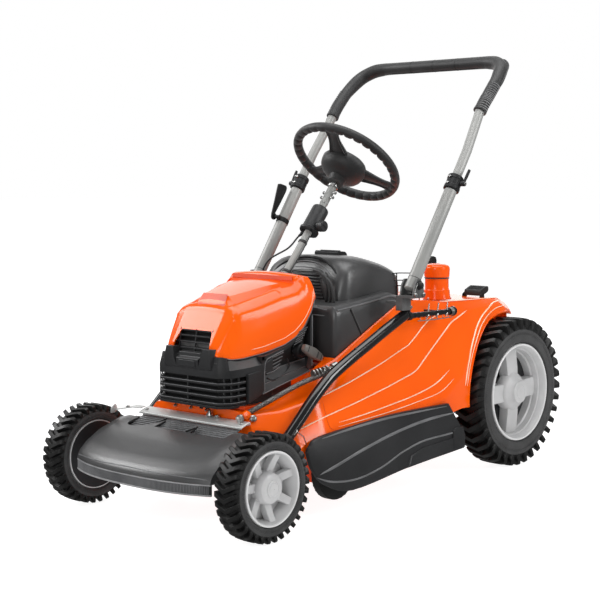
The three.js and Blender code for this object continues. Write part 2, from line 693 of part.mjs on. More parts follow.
function rearBox() {
  const { front, back, floor, halfWidth } = boxPocket;
  const outline = [[front, floor], [front, 408], ...boxTop, [back, floor]];
  const whole = prism("X", outline, -halfWidth, halfWidth);
  const faceOutline = mirrored([[0, 450], [118, 450], [138, 432], [150, 410], [150, 300], [0, 300]]);
  add("rear_box", whole.intersect(prism("Y", faceOutline.map(([x, z]) => [x, z]), -700, -300)), "darkPlastic");
}

function rearBoxCover() {
  const low = boxTop.map(([y, z]) => [y, z + 0.6]);
  const under = [[386, 423.2], ...low.slice(1, 4), [591.5, 406]];
  const sideOutline = [...under, [591.5, 468], [584, 484], [540, 500], [480, 514], [430, 515], [404, 504], [386, 444]];
  const faceOutline = mirrored([[0, 516], [62, 515], [92, 509], [112, 490], [120, 465], [121, 400], [0, 400]]);
  const across = prism("Y", faceOutline, -700, -300);
  add("rear_box_cover", prism("X", sideOutline, -130, 130).intersect(across), "darkPlastic");
}

// ---------------------------------------------------------------- steering column

const tilt = THREE.MathUtils.degToRad(column.tilt);

// Point on the column axis, counted upwards from the middle of the steering wheel.
function onColumn(along, x = 0, across = 0) {
  return [
    x,
    column.y + along * Math.cos(tilt) - across * Math.sin(tilt),
    column.z + along * Math.sin(tilt) + across * Math.cos(tilt),
  ];
}

// A piece made upright about the origin is set on the column.
function ontoColumn(solid, along) {
  const geometry = toGeometry(solid);
  geometry.rotateX(tilt - Math.PI / 2);
  geometry.translate(...onColumn(along));
  return toSolid(geometry);
}

function steeringColumn() {
  const bottom = -(column.z - 442) / Math.sin(tilt);
  const tube = rod(onColumn(bottom), onColumn(-66), column.radius);
  const foot = block([-19, 19], [303.5, 352], [426.5, 447]);
  const clearance = block([-30, 30], [300, 333], [415, 440]);
  const saddle = block([-19, 19], [334, 352], [419.5, 440]);
  const bore = rod(onColumn(bottom + 14), onColumn(-40), column.bore);
  add("steering_column", cut(join(cut(tube, clearance), foot, saddle), bore), "silver");
}

function steeringShaft() {
  const bottom = -(column.z - 442) / Math.sin(tilt);
  add("steering_shaft", rod(onColumn(bottom + 16), onColumn(-32), column.shaftRadius, 12), "steel");
}

function steeringWheelPiece() {
  const { rimRadius, tubeRadius, hubRadius, bossRadius, bossEnd } = steeringWheel;
  const torus = new THREE.TorusGeometry(rimRadius, tubeRadius, 7, 28);
  let wheel = toSolid(torus);
  const hub = [
    [0, bossEnd], [bossRadius, bossEnd], [bossRadius, -40], [34, -36],
    [hubRadius - 4, -24], [hubRadius, -8], [hubRadius - 8, 4], [0, 8],
  ];
  wheel = join(wheel, upright(hub, 14, [0, 0, 0]));
  for (const degrees of [-90, 22, 158]) {
    const angle = THREE.MathUtils.degToRad(degrees);
    const [c, s] = [Math.cos(angle), Math.sin(angle)];
    wheel = join(wheel, rod([30 * c, 30 * s, -14], [rimRadius * c, rimRadius * s, -2], 9, 7));
  }
  const socket = rod([0, 0, bossEnd - 5], [0, 0, -28], column.shaftRadius + gap, 12);
  add("steering_wheel", ontoColumn(cut(wheel, socket), 0), "blackPlastic");
}

function columnDrum() {
  const { middle, halfLength, radius } = drum;
  const body = rod([0, 0, -halfLength], [0, 0, halfLength], radius, 18);
  const bore = rod([0, 0, -50], [0, 0, 50], column.radius + 0.6);
  const axle = rod([radius - 3, 0, -16], [radius + 12, 0, -16], 4, 10);
  add("column_drum", ontoColumn(join(cut(body, bore), axle), middle), "darkPlastic");
}

function drumSwitch() {
  const { middle, radius } = drum;
  const cap = rod([radius + 2, 0, -16], [radius + 19, 0, -16], 12, 16);
  const socket = rod([radius, 0, -16], [radius + 12.6, 0, -16], 4 + gap, 10);
  add("drum_switch", ontoColumn(cut(cap, socket), middle), "blackPlastic");
}

function controlCable() {
  const route = smooth(
    [onColumn(-199.5, -13, 0), onColumn(-212, -22, 0), [-70, 420, 528], [-118, 408, 500], [-134, 398, 462], [-134, 396, 433]],
    14,
  );
  add("control_cable", pipe(route, 2, 8), "rubber");
}

// ---------------------------------------------------------------- handle

const lean = THREE.MathUtils.degToRad(handle.lean);

// Point on the handle line, counted upwards from its pivot.
function onHandle(along, x, forward = 0) {
  return [
    x,
    handle.pivotY + along * Math.cos(lean) - forward * Math.sin(lean),
    handle.pivotZ + along * Math.sin(lean) + forward * Math.cos(lean),
  ];
}

function lowerTube(side, sign) {
  const { x, pivotY, pivotZ, lowerRadius, lowerBore, lowerEnd } = handle;
  const tube = rod(onHandle(-12, sign * x), onHandle(lowerEnd, sign * x), lowerRadius, 14);
  const bore = rod(onHandle(70, sign * x), onHandle(lowerEnd + 5, sign * x), lowerBore, 14);
  const pinHole = rod([sign * x - 20, pivotY, pivotZ], [sign * x + 20, pivotY, pivotZ], 5, 12);
  let whole = cut(tube, bore, pinHole);
  if (side === "right") {
    const ear = rod(onHandle(150, sign * x, 12.8), onHandle(150, sign * x, 20), 5, 8);
    const earPin = rod(onHandle(150, sign * x - 8, 22), onHandle(150, sign * x + 8, 22), 3.5, 8);
    whole = join(whole, ear, earPin);
  }
  add(`lower_tube_${side}`, whole, "silver");
}

function controlPaddle() {
  const x = -handle.x;
  const knob = rod(onHandle(150, x - 8.4, 22), onHandle(150, x - 14, 22), 8, 12);
  const corners = [[146, 24], [226, 20], [232, 26], [222, 52], [150, 32]];
  const outline = corners.map(([along, forward]) => onHandle(along, 0, forward).slice(1));
  const plate = prism("X", outline, x - 13, x - 9);
  add("control_paddle", join(knob, plate), "blackPlastic");
}

function collar(side, sign) {
  const { x, lowerEnd, upperRadius } = handle;
  const ring = rod(onHandle(lowerEnd + gap, sign * x), onHandle(lowerEnd + 36, sign * x), 18, 14);
  const bore = rod(onHandle(lowerEnd - 5, sign * x), onHandle(lowerEnd + 45, sign * x), upperRadius + 0.6, 12);
  const stud = rod(onHandle(lowerEnd + 18, sign * (x + 15)), onHandle(lowerEnd + 18, sign * (x + 24)), 3, 8);
  add(`collar_${side}`, join(cut(ring, bore), stud), "blackPlastic");
}

function clampLever(side, sign) {
  const { x, lowerEnd } = handle;
  const at = lowerEnd + 18;
  const head = rod(onHandle(at, sign * (x + 19)), onHandle(at, sign * (x + 32)), 8, 12);
  const stalk = rod(onHandle(at, sign * (x + 26), 0), onHandle(at + 44, sign * (x + 28), 0), 4, 8, 5);
  const socket = rod(onHandle(at, sign * (x + 18)), onHandle(at, sign * (x + 25)), 3 + gap, 8);
  add(`clamp_lever_${side}`, cut(join(head, stalk), socket), "blackPlastic");
}

// The push bar above its legs: distance along the handle, x and forward offset, up to the middle.
const barBend = [[500, 219, -5], [549, 217, -15], [590, 206, -26], [614, 180, -33], [621, 138, -36], [621, 60, -36]];

// Half of the push bar from a leg's start to the middle, on the +x side.
function barHalf(start) {
  const { x, upperStart, straightEnd, gripStart, gripX } = handle;
  const leg = [[upperStart, x, 0], [straightEnd, x, 0], [gripStart, gripX, 0]];
  return [...leg.filter(([along]) => along >= start), ...barBend];
}

function barRoute(start) {
  const half = barHalf(start);
  const left = half.map(([along, x, forward]) => onHandle(along, x, forward));
  const right = half.map(([along, x, forward]) => onHandle(along, -x, forward)).reverse();
  return [...left, ...right];
}

function pushBar() {
  add("push_bar", pipe(barRoute(handle.upperStart), handle.upperRadius, 10), "silver");
}

function barGrip() {
  const sleeve = pipe(barRoute(handle.gripStart), handle.gripRadius, 10, handle.upperRadius + 1.6);
  add("bar_grip", sleeve, "rubber");
}

// ---------------------------------------------------------------- small controls and hoses

function fuelFiller() {
  const { x, y, base, neckTop, capTop, radius } = fuel;
  const neck = [
    [0, base], [radius + 3, base], [radius, base + 22], [radius - 2, base + 24],
    [radius - 2, neckTop], [0, neckTop],
  ];
  add("fuel_neck", upright(neck, 16, [x, y, 0]), "orange");
  const low = neckTop + gap;
  const cap = [[0, low], [radius - 1, low], [radius, low + 3], [radius, capTop - 8], [radius - 7, capTop - 1], [0, capTop]];
  add("fuel_cap", upright(cap, 16, [x, y, 0]), "orange");
}

const heightLever = { y: 845, pivotZ: 384 };

function heightLeverPiece() {
  const { y, pivotZ } = heightLever;
  const stalk = block([-5, 5], [y - 6, y + 6], [pivotZ - 6, 462]);
  const grip = block([-9, 9], [y - 3, y + 19], [458, 496]);
  const boss = rod([-8, y, pivotZ], [8, y, pivotZ], 8, 12);
  add("height_lever", join(stalk, grip, boss), "blackPlastic");
}

function rearLatch() {
  const outline = [[898, 402], [906, 402], [930, 411], [932, 423], [924, 425], [900, 416]];
  add("rear_latch", prism("X", outline, 66, 114), "blackPlastic");
}

function braidedHose() {
  const route = smooth(
    [[128, 62, 212], [133, 82, 226], [140, 112, 243], [150, 150, 262], [162, 200, 279], [172, 250, 288], [177, 285, 296]],
    14,
  );
  add("braided_hose", pipe(route, 6, 7), "steel");
}

// ---------------------------------------------------------------- build

deckShell();
rearAxleBar();
frontAxleBeam();
tieRod();
frontCover();
frontBand();
frontScreen();
frontStrip();
engineBlock();
crankshaft();
spindleParts();
driveBelt();
engineShroud();
hood();
starterGrip();
rearBox();
rearBoxCover();
steeringColumn();
steeringShaft();
steeringWheelPiece();
columnDrum();
drumSwitch();
controlCable();
controlPaddle();
pushBar();
barGrip();
fuelFiller();
heightLeverPiece();
rearLatch();
braidedHose();
for (const { side, sign } of bothSides) {
  frontWheel(side, sign);
  rearWheel(side, sign);
  knuckle(side, sign);
  sideSkirt(side, sign);
  gaugeRoller(side, sign);
  frameSide(side, sign);
  pivotBracket(side, sign);
  adjusterRail(side, sign);
  lowerTube(side, sign);
  collar(side, sign);
  clampLever(side, sign);
}

const group = new THREE.Group();
group.add(machine);

export default group;
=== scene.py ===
# Walk-behind mower with a steered front axle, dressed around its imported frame.
# Sizes inside the piece dictionaries are millimetres; y is counted from the front axle.
import json
from math import atan2, copysign, cos, dist, exp, hypot, pi, radians, sin, sqrt

import bmesh
import bpy
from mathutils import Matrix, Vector


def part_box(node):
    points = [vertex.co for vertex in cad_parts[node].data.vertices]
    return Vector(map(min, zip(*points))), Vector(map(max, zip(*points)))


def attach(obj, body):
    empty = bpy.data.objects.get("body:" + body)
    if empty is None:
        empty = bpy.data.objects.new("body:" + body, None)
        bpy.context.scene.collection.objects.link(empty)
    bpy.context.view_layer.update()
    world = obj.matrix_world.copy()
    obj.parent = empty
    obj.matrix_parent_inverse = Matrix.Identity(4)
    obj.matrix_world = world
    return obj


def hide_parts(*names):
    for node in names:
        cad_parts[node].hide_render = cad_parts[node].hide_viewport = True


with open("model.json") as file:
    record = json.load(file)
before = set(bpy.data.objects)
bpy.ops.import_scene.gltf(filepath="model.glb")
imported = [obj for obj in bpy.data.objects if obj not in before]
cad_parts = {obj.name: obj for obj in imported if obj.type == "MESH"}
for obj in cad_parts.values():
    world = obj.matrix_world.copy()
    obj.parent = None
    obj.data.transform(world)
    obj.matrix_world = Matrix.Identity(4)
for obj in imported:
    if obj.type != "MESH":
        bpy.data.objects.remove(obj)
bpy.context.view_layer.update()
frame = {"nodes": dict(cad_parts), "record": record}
axleLow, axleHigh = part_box("front_tyre_left")
axleY = (axleLow.y + axleHigh.y) / 2
hands = {"left": 1, "right": -1}
print("frame loaded,", len(frame["nodes"]), "nodes")


def place(x, y, z):
    # millimetres from the front axle line to the frame's metres
    return Vector((x / 1000, axleY + y / 1000, z / 1000))


def around(count):
    # angles once round, evenly spaced
    return [2 * pi * k / count for k in range(count)]


def mix(a, b, t):
    return tuple(p + (q - p) * t for p, q in zip(a, b))


def ease(low, high, value):
    t = min(max((value - low) / (high - low), 0), 1)
    return t * t * (3 - 2 * t)


class Shape:
    # points in millimetres, faces, and the number of each face's finish
    def __init__(self):
        self.points = []
        self.faces = []
        self.paint = []

    def join(self, part, paint=0):
        points, faces = part
        start = len(self.points)
        self.points += [tuple(p) for p in points]
        self.faces += [tuple(start + i for i in face) for face in faces]
        self.paint += [paint] * len(faces)
        return self


def stacked(rings, ends=True, closed=True, loop=False):
    # skin over rings of equally many points
    size = len(rings[0])
    points = [p for ring in rings for p in ring]
    faces = []
    last = len(rings) if loop else len(rings) - 1
    for i in range(last):
        a, b = i * size, (i + 1) % len(rings) * size
        for k in range(size if closed else size - 1):
            n = (k + 1) % size
            faces.append((a + k, a + n, b + n, b + k))
    if ends and not loop:
        faces.append(tuple(reversed(range(size))))
        faces.append(tuple(range(len(points) - size, len(points))))
    return points, faces


def spun(profile, sides=48, loop=True):
    # profile of (along x, radius) turned about the x axis
    rings = []
    for along, radius in profile:
        rings.append([(along, radius * cos(a), radius * sin(a)) for a in around(sides)])
    return stacked(rings, ends=not loop, loop=loop)


def upright(profile, sides, x=0, y=0, z=0, loop=True):
    # the same, turned about a standing line: profile of (height, radius)
    points, faces = spun(profile, sides, loop)
    return [(x + p[1], y + p[2], z + p[0]) for p in points], faces


def slab(outline, low, high, axis="x"):
    # flat outline given in the other two directions, pulled from low to high
    def spot(p, at):
        return {"x": (at, p[0], p[1]), "y": (p[0], at, p[1]), "z": (p[0], p[1], at)}[axis]
    return stacked([[spot(p, low) for p in outline], [spot(p, high) for p in outline]])


def brick(xs, ys, zs):
    # plain block between two corners, used for ribs and knives
    outline = [(ys[0], zs[0]), (ys[1], zs[0]), (ys[1], zs[1]), (ys[0], zs[1])]
    return slab(outline, xs[0], xs[1])


def flowing(points, steps=6, loop=False):
    # evenly rounded line through the points
    count = len(points)
    made = []
    for i in range(count if loop else count - 1):
        if loop:
            a, b, c, d = (Vector(points[(i + k) % count]) for k in (-1, 0, 1, 2))
        else:
            a, b, c, d = (Vector(points[min(max(i + k, 0), count - 1)]) for k in (-1, 0, 1, 2))
        for s in range(steps):
            t = s / steps
            made.append(tuple(0.5 * (2 * b + (c - a) * t + (2 * a - 5 * b + 4 * c - d) * t * t
                                     + (3 * b - a - 3 * c + d) * t ** 3)))
    if not loop:
        made.append(tuple(points[-1]))
    return made


def tube(path, radius, sides=16, loop=False, flat=1.0, ends=True, up=None):
    # round bar along a path; radius may be a list, flat squeezes it across
    spots = [Vector(p) for p in path]
    count = len(spots)
    side = None
    rings = []
    for i, spot in enumerate(spots):
        before = spots[i - 1] if i or loop else spot
        after = spots[(i + 1) % count] if i < count - 1 or loop else spot
        along = (after - before).normalized()
        if side is None:
            side = along.cross(Vector(up) if up else Vector((0.13, 0.31, 0.94))).normalized()
        side = (side - along * side.dot(along)).normalized()
        other = along.cross(side)
        r = radius[i] if isinstance(radius, (list, tuple)) else radius
        rings.append([tuple(spot + side * r * cos(a) + other * r * flat * sin(a)) for a in around(sides)])
    return stacked(rings, ends=ends, loop=loop)


def moved(part, change):
    points, faces = part
    return [change(p) for p in points], faces


def bar(a, b, radius, sides=20, end=None):
    # straight round bar, tapering when it has an end radius
    return tube([a, b], [radius, end or radius], sides)


def turnedAlong(a, b, profile, sides=32):
    # profile of (share of the way from a to b in mm, radius)
    start, finish = Vector(a), Vector(b)
    along = (finish - start).normalized()
    side = along.cross(Vector((0.2, 0.5, 0.84))).normalized()
    other = along.cross(side)
    rings = []
    for far, radius in profile:
        rings.append([tuple(start + along * far + side * radius * cos(t) + other * radius * sin(t))
                      for t in around(sides)])
    return stacked(rings)


def piece(name, shape, body, finishes, replaces=(), bevel=0.0, steps=2, corner=35, soften=0,
          shell=0.0, carve=()):
    # the shape becomes an object that rides on its body
    mesh = bpy.data.meshes.new(name)
    mesh.from_pydata([place(*p) for p in shape.points], [], shape.faces)
    for skin in finishes:
        mesh.materials.append(skins[skin])
    mesh.polygons.foreach_set("material_index", shape.paint)
    tidy = bmesh.new()
    tidy.from_mesh(mesh)
    bmesh.ops.remove_doubles(tidy, verts=tidy.verts, dist=0.000005)
    bmesh.ops.recalc_face_normals(tidy, faces=tidy.faces)
    tidy.to_mesh(mesh)
    tidy.free()
    obj = bpy.data.objects.new(name, mesh)
    bpy.context.scene.collection.objects.link(obj)
    if shell:
        layer = obj.modifiers.new("wall", "SOLIDIFY")
        layer.thickness = shell / 1000
        layer.offset = -1
        layer.use_even_offset = True
    if soften:
        soft = obj.modifiers.new("soft", "SUBSURF")
        soft.levels = soft.render_levels = soften
    if shell or soften or carve:
        settle(obj, carve)
    smoothed(obj.data, corner)
    if bevel:
        edge = obj.modifiers.new("edge", "BEVEL")
        edge.width = bevel / 1000
        edge.segments = steps
        edge.limit_method = "ANGLE"
        edge.angle_limit = radians(corner)
        edge.harden_normals = True
        dropLayers(obj.data, ("sharp_edge",))
    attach(obj, body)
    if replaces:
        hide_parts(*replaces)
    return obj


def settle(obj, carve=()):
    # carving shapes are cut away, then everything is baked into the mesh
    knives = []
    for part in carve:
        data = bpy.data.meshes.new("knife")
        data.from_pydata([place(*p) for p in part[0]], [], part[1])
        tidy = bmesh.new()
        tidy.from_mesh(data)
        bmesh.ops.recalc_face_normals(tidy, faces=tidy.faces)
        tidy.to_mesh(data)
        tidy.free()
        knife = bpy.data.objects.new("knife", data)
        bpy.context.scene.collection.objects.link(knife)
        cutter = obj.modifiers.new("cut", "BOOLEAN")
        cutter.operation = "DIFFERENCE"
        cutter.solver = "EXACT"
        cutter.object = knife
        knives.append(knife)
    bpy.context.view_layer.update()
    baked = bpy.data.meshes.new_from_object(obj.evaluated_get(bpy.context.evaluated_depsgraph_get()))
    old = obj.data
    obj.modifiers.clear()
    obj.data = baked
    bpy.data.meshes.remove(old)
    baked.name = obj.name
    for knife in knives:
        data = knife.data
        bpy.data.objects.remove(knife)
        bpy.data.meshes.remove(data)


def dropLayers(mesh, names):
    for name in names:
        if name in mesh.attributes:
            mesh.attributes.remove(mesh.attributes[name])


def smoothed(mesh, corner):
    mesh.shade_smooth()
    mesh.set_sharp_from_angle(angle=radians(corner))


def finish(name, look):
    # one moulded, painted or metal surface: two shades in patches, specks, smudges and a grain
    made = bpy.data.materials.new(name)
    made.use_nodes = True
    nodes, links = made.node_tree.nodes, made.node_tree.links
    shader = nodes["Principled BSDF"]
    shader.inputs["Metallic"].default_value = look.get("metal", 0)
    shader.inputs["Coat Weight"].default_value = look.get("coat", 0)
    shader.inputs["Coat Roughness"].default_value = look.get("coatRough", 0.06)
    shader.inputs["Specular IOR Level"].default_value = look.get("shine", 0.5)
    shader.inputs["Sheen Weight"].default_value = look.get("sheen", 0)
    where = nodes.new("ShaderNodeTexCoord")
    stretch = nodes.new("ShaderNodeMapping")
    stretch.inputs["Scale"].default_value = look.get("stretch", (1, 1, 1))
    stretch.inputs["Rotation"].default_value = look.get("lean", (0, 0, 0))
    links.new(where.outputs["Object"], stretch.inputs["Vector"])

    def cloud(scale, detail=3):
        made = nodes.new("ShaderNodeTexNoise")
        made.inputs["Scale"].default_value = scale
        made.inputs["Detail"].default_value = detail
        links.new(stretch.outputs["Vector"], made.inputs["Vector"])
        return made.outputs["Fac"]

    shades = nodes.new("ShaderNodeValToRGB")
    shades.color_ramp.elements[0].position = 0.35
    shades.color_ramp.elements[0].color = (*look["dark"], 1)
    shades.color_ramp.elements[1].position = 0.68
    shades.color_ramp.elements[1].color = (*look["light"], 1)
    links.new(cloud(look.get("patch", 14)), shades.inputs["Fac"])
    colour = shades.outputs["Color"]
    if "fleck" in look:  # fine specks of dust or flake over the patches
        speck = nodes.new("ShaderNodeMapRange")
        speck.inputs["From Min"].default_value = 0.58
        speck.inputs["From Max"].default_value = 0.75
        speck.inputs["To Max"].default_value = look.get("fleckAmount", 0.35)
        links.new(cloud(look.get("fleckScale", 900), 2), speck.inputs["Value"])
        over = nodes.new("ShaderNodeMix")
        over.data_type = "RGBA"
        links.new(speck.outputs["Result"], over.inputs["Factor"])
        links.new(colour, over.inputs["A"])
        over.inputs["B"].default_value = (*look["fleck"], 1)
        colour = over.outputs["Result"]
    links.new(colour, shader.inputs["Base Color"])
    rough = nodes.new("ShaderNodeMapRange")
    rough.inputs["To Min"].default_value, rough.inputs["To Max"].default_value = look["rough"]
    links.new(cloud(look.get("smudge", 40)), rough.inputs["Value"])
    links.new(rough.outputs["Result"], shader.inputs["Roughness"])
    if look.get("grainKind") == "pebble":
        cells = nodes.new("ShaderNodeTexVoronoi")
        cells.inputs["Scale"].default_value = look.get("grain", 900)
        links.new(stretch.outputs["Vector"], cells.inputs["Vector"])
        height = cells.outputs["Distance"]
    else:
        height = cloud(look.get("grain", 900), 4)
    bump = nodes.new("ShaderNodeBump")
    bump.inputs["Strength"].default_value = look.get("grainDepth", 0.1)
    bump.inputs["Distance"].default_value = look.get("grainTall", 0.0006)
    links.new(height, bump.inputs["Height"])
    links.new(bump.outputs["Normal"], shader.inputs["Normal"])
    return made


pebbled = dict(grainKind="pebble", grainTall=0.0003)
looks = {
    "orangeGloss": dict(dark=(0.93, 0.098, 0.0), light=(1.0, 0.122, 0.0), rough=(0.13, 0.2), shine=0.42,
                        patch=3,
                        grain=420, grainDepth=0.03, smudge=18),
    # darker orange: painted shade inside the deck and in the hood's recesses, and dark seams
    "orangeShadeAndDarkTone": dict(dark=(0.55, 0.045, 0.0), light=(0.72, 0.065, 0.0), rough=(0.28, 0.4), shine=0.3,
                         patch=9,
                         grain=500, grainDepth=0.08),
    # pale peach for beads painted as highlights along the creases
    "orangePaintedHighlight": dict(dark=(1.0, 0.64, 0.42), light=(1.0, 0.76, 0.56), rough=(0.15, 0.25), coat=0.5,
                       patch=20,
                       grain=600, grainDepth=0.03),
    "satinBlack": dict(dark=(0.007, 0.0072, 0.0078), light=(0.013, 0.0134, 0.0145), rough=(0.4, 0.52),
                       patch=9, smudge=30,
                       grain=1500, grainDepth=0.22, **pebbled, shine=0.34,
                       fleck=(0.035, 0.035, 0.037), fleckAmount=0.2),
    "softGrey": dict(dark=(0.0135, 0.0138, 0.0147), light=(0.022, 0.0225, 0.024), rough=(0.36, 0.48),
                     patch=8, smudge=22,
                     grain=1300, grainDepth=0.3, **pebbled, shine=0.42,
                     fleck=(0.055, 0.055, 0.058), fleckAmount=0.25),
    "boxGrey": dict(dark=(0.03, 0.0302, 0.031), light=(0.045, 0.0454, 0.0465), rough=(0.3, 0.4), patch=6,
                    smudge=20,
                    grain=1300, grainDepth=0.3, **pebbled, shine=0.9,
                    fleck=(0.09, 0.09, 0.092), fleckAmount=0.3),
    "ribGrey": dict(dark=(0.2, 0.2, 0.205), light=(0.3, 0.3, 0.305), rough=(0.4, 0.5), patch=30,
                    grain=900, grainDepth=0.1),
    # light grey for trim, and for thin pale lines painted as highlights along edges
    "greyTrimAndPaintedHighlight": dict(dark=(0.1, 0.101, 0.105), light=(0.16, 0.162, 0.167), rough=(0.3, 0.42), patch=15,
                     grain=1200, grainDepth=0.15, grainTall=0.0003),
    # near black: real black parts, and dark sheets and slots painted as shade
    "deepBlackAndShade": dict(dark=(0.004, 0.004, 0.004), light=(0.009, 0.009, 0.009), rough=(0.5, 0.65), patch=20,
                      grain=900, grainDepth=0.2),
    "treadRubber": dict(dark=(0.0025, 0.0025, 0.0025), light=(0.006, 0.006, 0.0058), rough=(0.38, 0.55),
                        patch=25,
                        grain=700, grainDepth=0.4, smudge=60, fleck=(0.02, 0.02, 0.019), fleckAmount=0.25,
                        fleckScale=500),
    "sidewall": dict(dark=(0.03, 0.03, 0.0305), light=(0.045, 0.045, 0.0455), rough=(0.55, 0.7), patch=30,
                     grain=1100, grainDepth=0.4, smudge=50, sheen=0.1),
    "wheelGrey": dict(dark=(0.46, 0.46, 0.463), light=(0.54, 0.54, 0.543), rough=(0.32, 0.45), patch=18,
                      coat=0.15,
                      grain=900, grainDepth=0.08, smudge=45),
    "wheelLip": dict(dark=(0.62, 0.62, 0.62), light=(0.7, 0.7, 0.7), rough=(0.24, 0.34), patch=18, coat=0.2,
                     grain=900, grainDepth=0.05),
    "tubeSilver": dict(dark=(0.3, 0.302, 0.292), light=(0.38, 0.382, 0.37), metal=0.25, rough=(0.4, 0.5),
                       patch=9,
                       stretch=(9, 0.6, 0.6), lean=(radians(-56), 0, 0), grain=500, grainDepth=0.08,
                       smudge=60),
    "blackEnamel": dict(dark=(0.004, 0.004, 0.0045), light=(0.008, 0.008, 0.009), rough=(0.1, 0.16),
                        coat=0.3, patch=12,
                        grain=260, grainDepth=0.01),
    "gripRubber": dict(dark=(0.0075, 0.0077, 0.008), light=(0.014, 0.0143, 0.015), rough=(0.42, 0.56),
                       patch=18, sheen=0.15,
                       grain=1600, grainDepth=0.35, **pebbled, shine=0.5,
                       fleck=(0.05, 0.05, 0.055), fleckAmount=0.25),
    "brightSteel": dict(dark=(0.42, 0.42, 0.415), light=(0.62, 0.62, 0.61), metal=1, rough=(0.18, 0.36),
                        patch=60,
                        stretch=(1, 1, 5), grain=600, grainDepth=0.15, smudge=90),
    "pressedZinc": dict(dark=(0.3, 0.3, 0.29), light=(0.5, 0.5, 0.48), metal=0.9, rough=(0.25, 0.45),
                        patch=55,
                        grain=260, grainKind="pebble", grainDepth=0.12, smudge=80),
    "castAlloy": dict(dark=(0.12, 0.12, 0.12), light=(0.2, 0.2, 0.2), metal=0.7, rough=(0.5, 0.7), patch=40,
                      grain=500, grainKind="pebble", grainDepth=0.5),
    "stripAlloy": dict(dark=(0.55, 0.56, 0.55), light=(0.64, 0.65, 0.64), metal=0.35, rough=(0.3, 0.42),
                       patch=12,
                       stretch=(0.5, 8, 8), grain=600, grainDepth=0.15, smudge=60),
    "braidSteel": dict(dark=(0.16, 0.155, 0.15), light=(0.55, 0.54, 0.52), metal=0.85, rough=(0.25, 0.5),
                       patch=420,
                       grain=900, grainDepth=0.3),
    "braidWire": dict(dark=(0.1, 0.097, 0.092), light=(0.34, 0.33, 0.32), metal=0.9, rough=(0.25, 0.5),
                      patch=420,
                      grain=900, grainDepth=0.3),
    "gripBrown": dict(dark=(0.085, 0.078, 0.07), light=(0.14, 0.13, 0.12), rough=(0.3, 0.45), patch=30,
                      coat=0.2,
                      grain=1100, grainDepth=0.25, **pebbled),
    "tempered": dict(dark=(0.2, 0.2, 0.2), light=(0.3, 0.3, 0.295), metal=1, rough=(0.3, 0.5), patch=50,
                     stretch=(1, 6, 1), grain=600, grainDepth=0.25),
}
skins = {name: finish(name, look) for name, look in looks.items()}
print("finishes mixed,", len(skins))

# eye position in metres, its turn and dip in degrees, and the even light of the room
studio = dict(eye=(2.0635, -2.3773, 0.6771), turn=42.33, dip=4.82, lens=84.8,
              sky=0.2, floorGlow=0.92)
eye = bpy.data.objects.new("camera", bpy.data.cameras.new("camera"))
bpy.context.scene.collection.objects.link(eye)
eye.location = studio["eye"]
eye.rotation_euler = (radians(90 - studio["dip"]), 0, radians(studio["turn"]))
eye.data.lens = studio["lens"]
eye.data.sensor_width = 36
bpy.context.scene.camera = eye

softboxes = {
    "overhead": dict(at=(0.2, 0.1, 3.0), aim=(0, 0, 0.3), size=(2.4, 2.4), watts=60),
    "frontLeft": dict(at=(-2.6, -1.6, 2.3), aim=(0, -0.2, 0.4), size=(1.9, 1.6), watts=70),
    "frontRight": dict(at=(1.4, -3.4, 1.5), aim=(0, 0, 0.35), size=(1.0, 1.6), watts=26),
    "rightSide": dict(at=(3.0, 1.1, 1.9), aim=(0, 0, 0.4), size=(0.9, 1.8), watts=42),
    "backRim": dict(at=(-2.4, 2.7, 1.5), aim=(0, 0, 0.4), size=(4.2, 2.6), watts=46),
}
for name, box in softboxes.items():
    lamp = bpy.data.lights.new(name, "AREA")
    lamp.shape = "RECTANGLE"
    lamp.size, lamp.size_y = box["size"]
    lamp.energy = box["watts"]
    holder = bpy.data.objects.new(name, lamp)
    bpy.context.scene.collection.objects.link(holder)
    holder.location = box["at"]
    holder.visible_camera = False
    holder.rotation_euler = (Vector(box["aim"]) - Vector(box["at"])).to_track_quat("-Z", "Y").to_euler()

sky = bpy.data.worlds.new("studio")
bpy.context.scene.world = sky
sky.use_nodes = True
skyNodes, skyLinks = sky.node_tree.nodes, sky.node_tree.links
skyGlow = skyNodes["Background"]  # the light that the sweep sends back
skyGlow.inputs["Strength"].default_value = studio["sky"]
skyGlow.inputs["Color"].default_value = (1, 1, 1, 1)
skySeen = skyNodes.new("ShaderNodeBackground")  # the plain white behind everything
skySeen.inputs["Color"].default_value = (1, 1, 1, 1)
skyRay = skyNodes.new("ShaderNodeLightPath")
skyMix = skyNodes.new("ShaderNodeMixShader")
skyLinks.new(skyRay.outputs["Is Camera Ray"], skyMix.inputs["Fac"])
skyLinks.new(skyGlow.outputs["Background"], skyMix.inputs[1])
skyLinks.new(skySeen.outputs["Background"], skyMix.inputs[2])
skyLinks.new(skyMix.outputs["Shader"], skyNodes["World Output"].inputs["Surface"])
bpy.context.scene.view_settings.view_transform = "Standard"

floorMesh = bpy.data.meshes.new("floor")
floorMesh.from_pydata([(-40, -40, -0.001), (40, -40, -0.001), (40, 40, -0.001), (-40, 40, -0.001)], [],
                      [(0, 1, 2, 3)])
floor = bpy.data.objects.new("floor", floorMesh)
bpy.context.scene.collection.objects.link(floor)
floorPaint = finish("floorPaint", dict(dark=(0.42, 0.42, 0.42), light=(0.46, 0.46, 0.46), rough=(0.8, 0.9),
                                       patch=2, shine=0.1,
                                       grain=30, grainDepth=0.01))
floorShader = floorPaint.node_tree.nodes["Principled BSDF"]
floorShader.inputs["Emission Color"].default_value = (1, 1, 1, 1)
floorShader.inputs["Emission Strength"].default_value = studio["floorGlow"]
floorMesh.materials.append(floorPaint)
floor.visible_glossy = False  # the gloss picks up the lamps, not the bright floor
print("studio set")

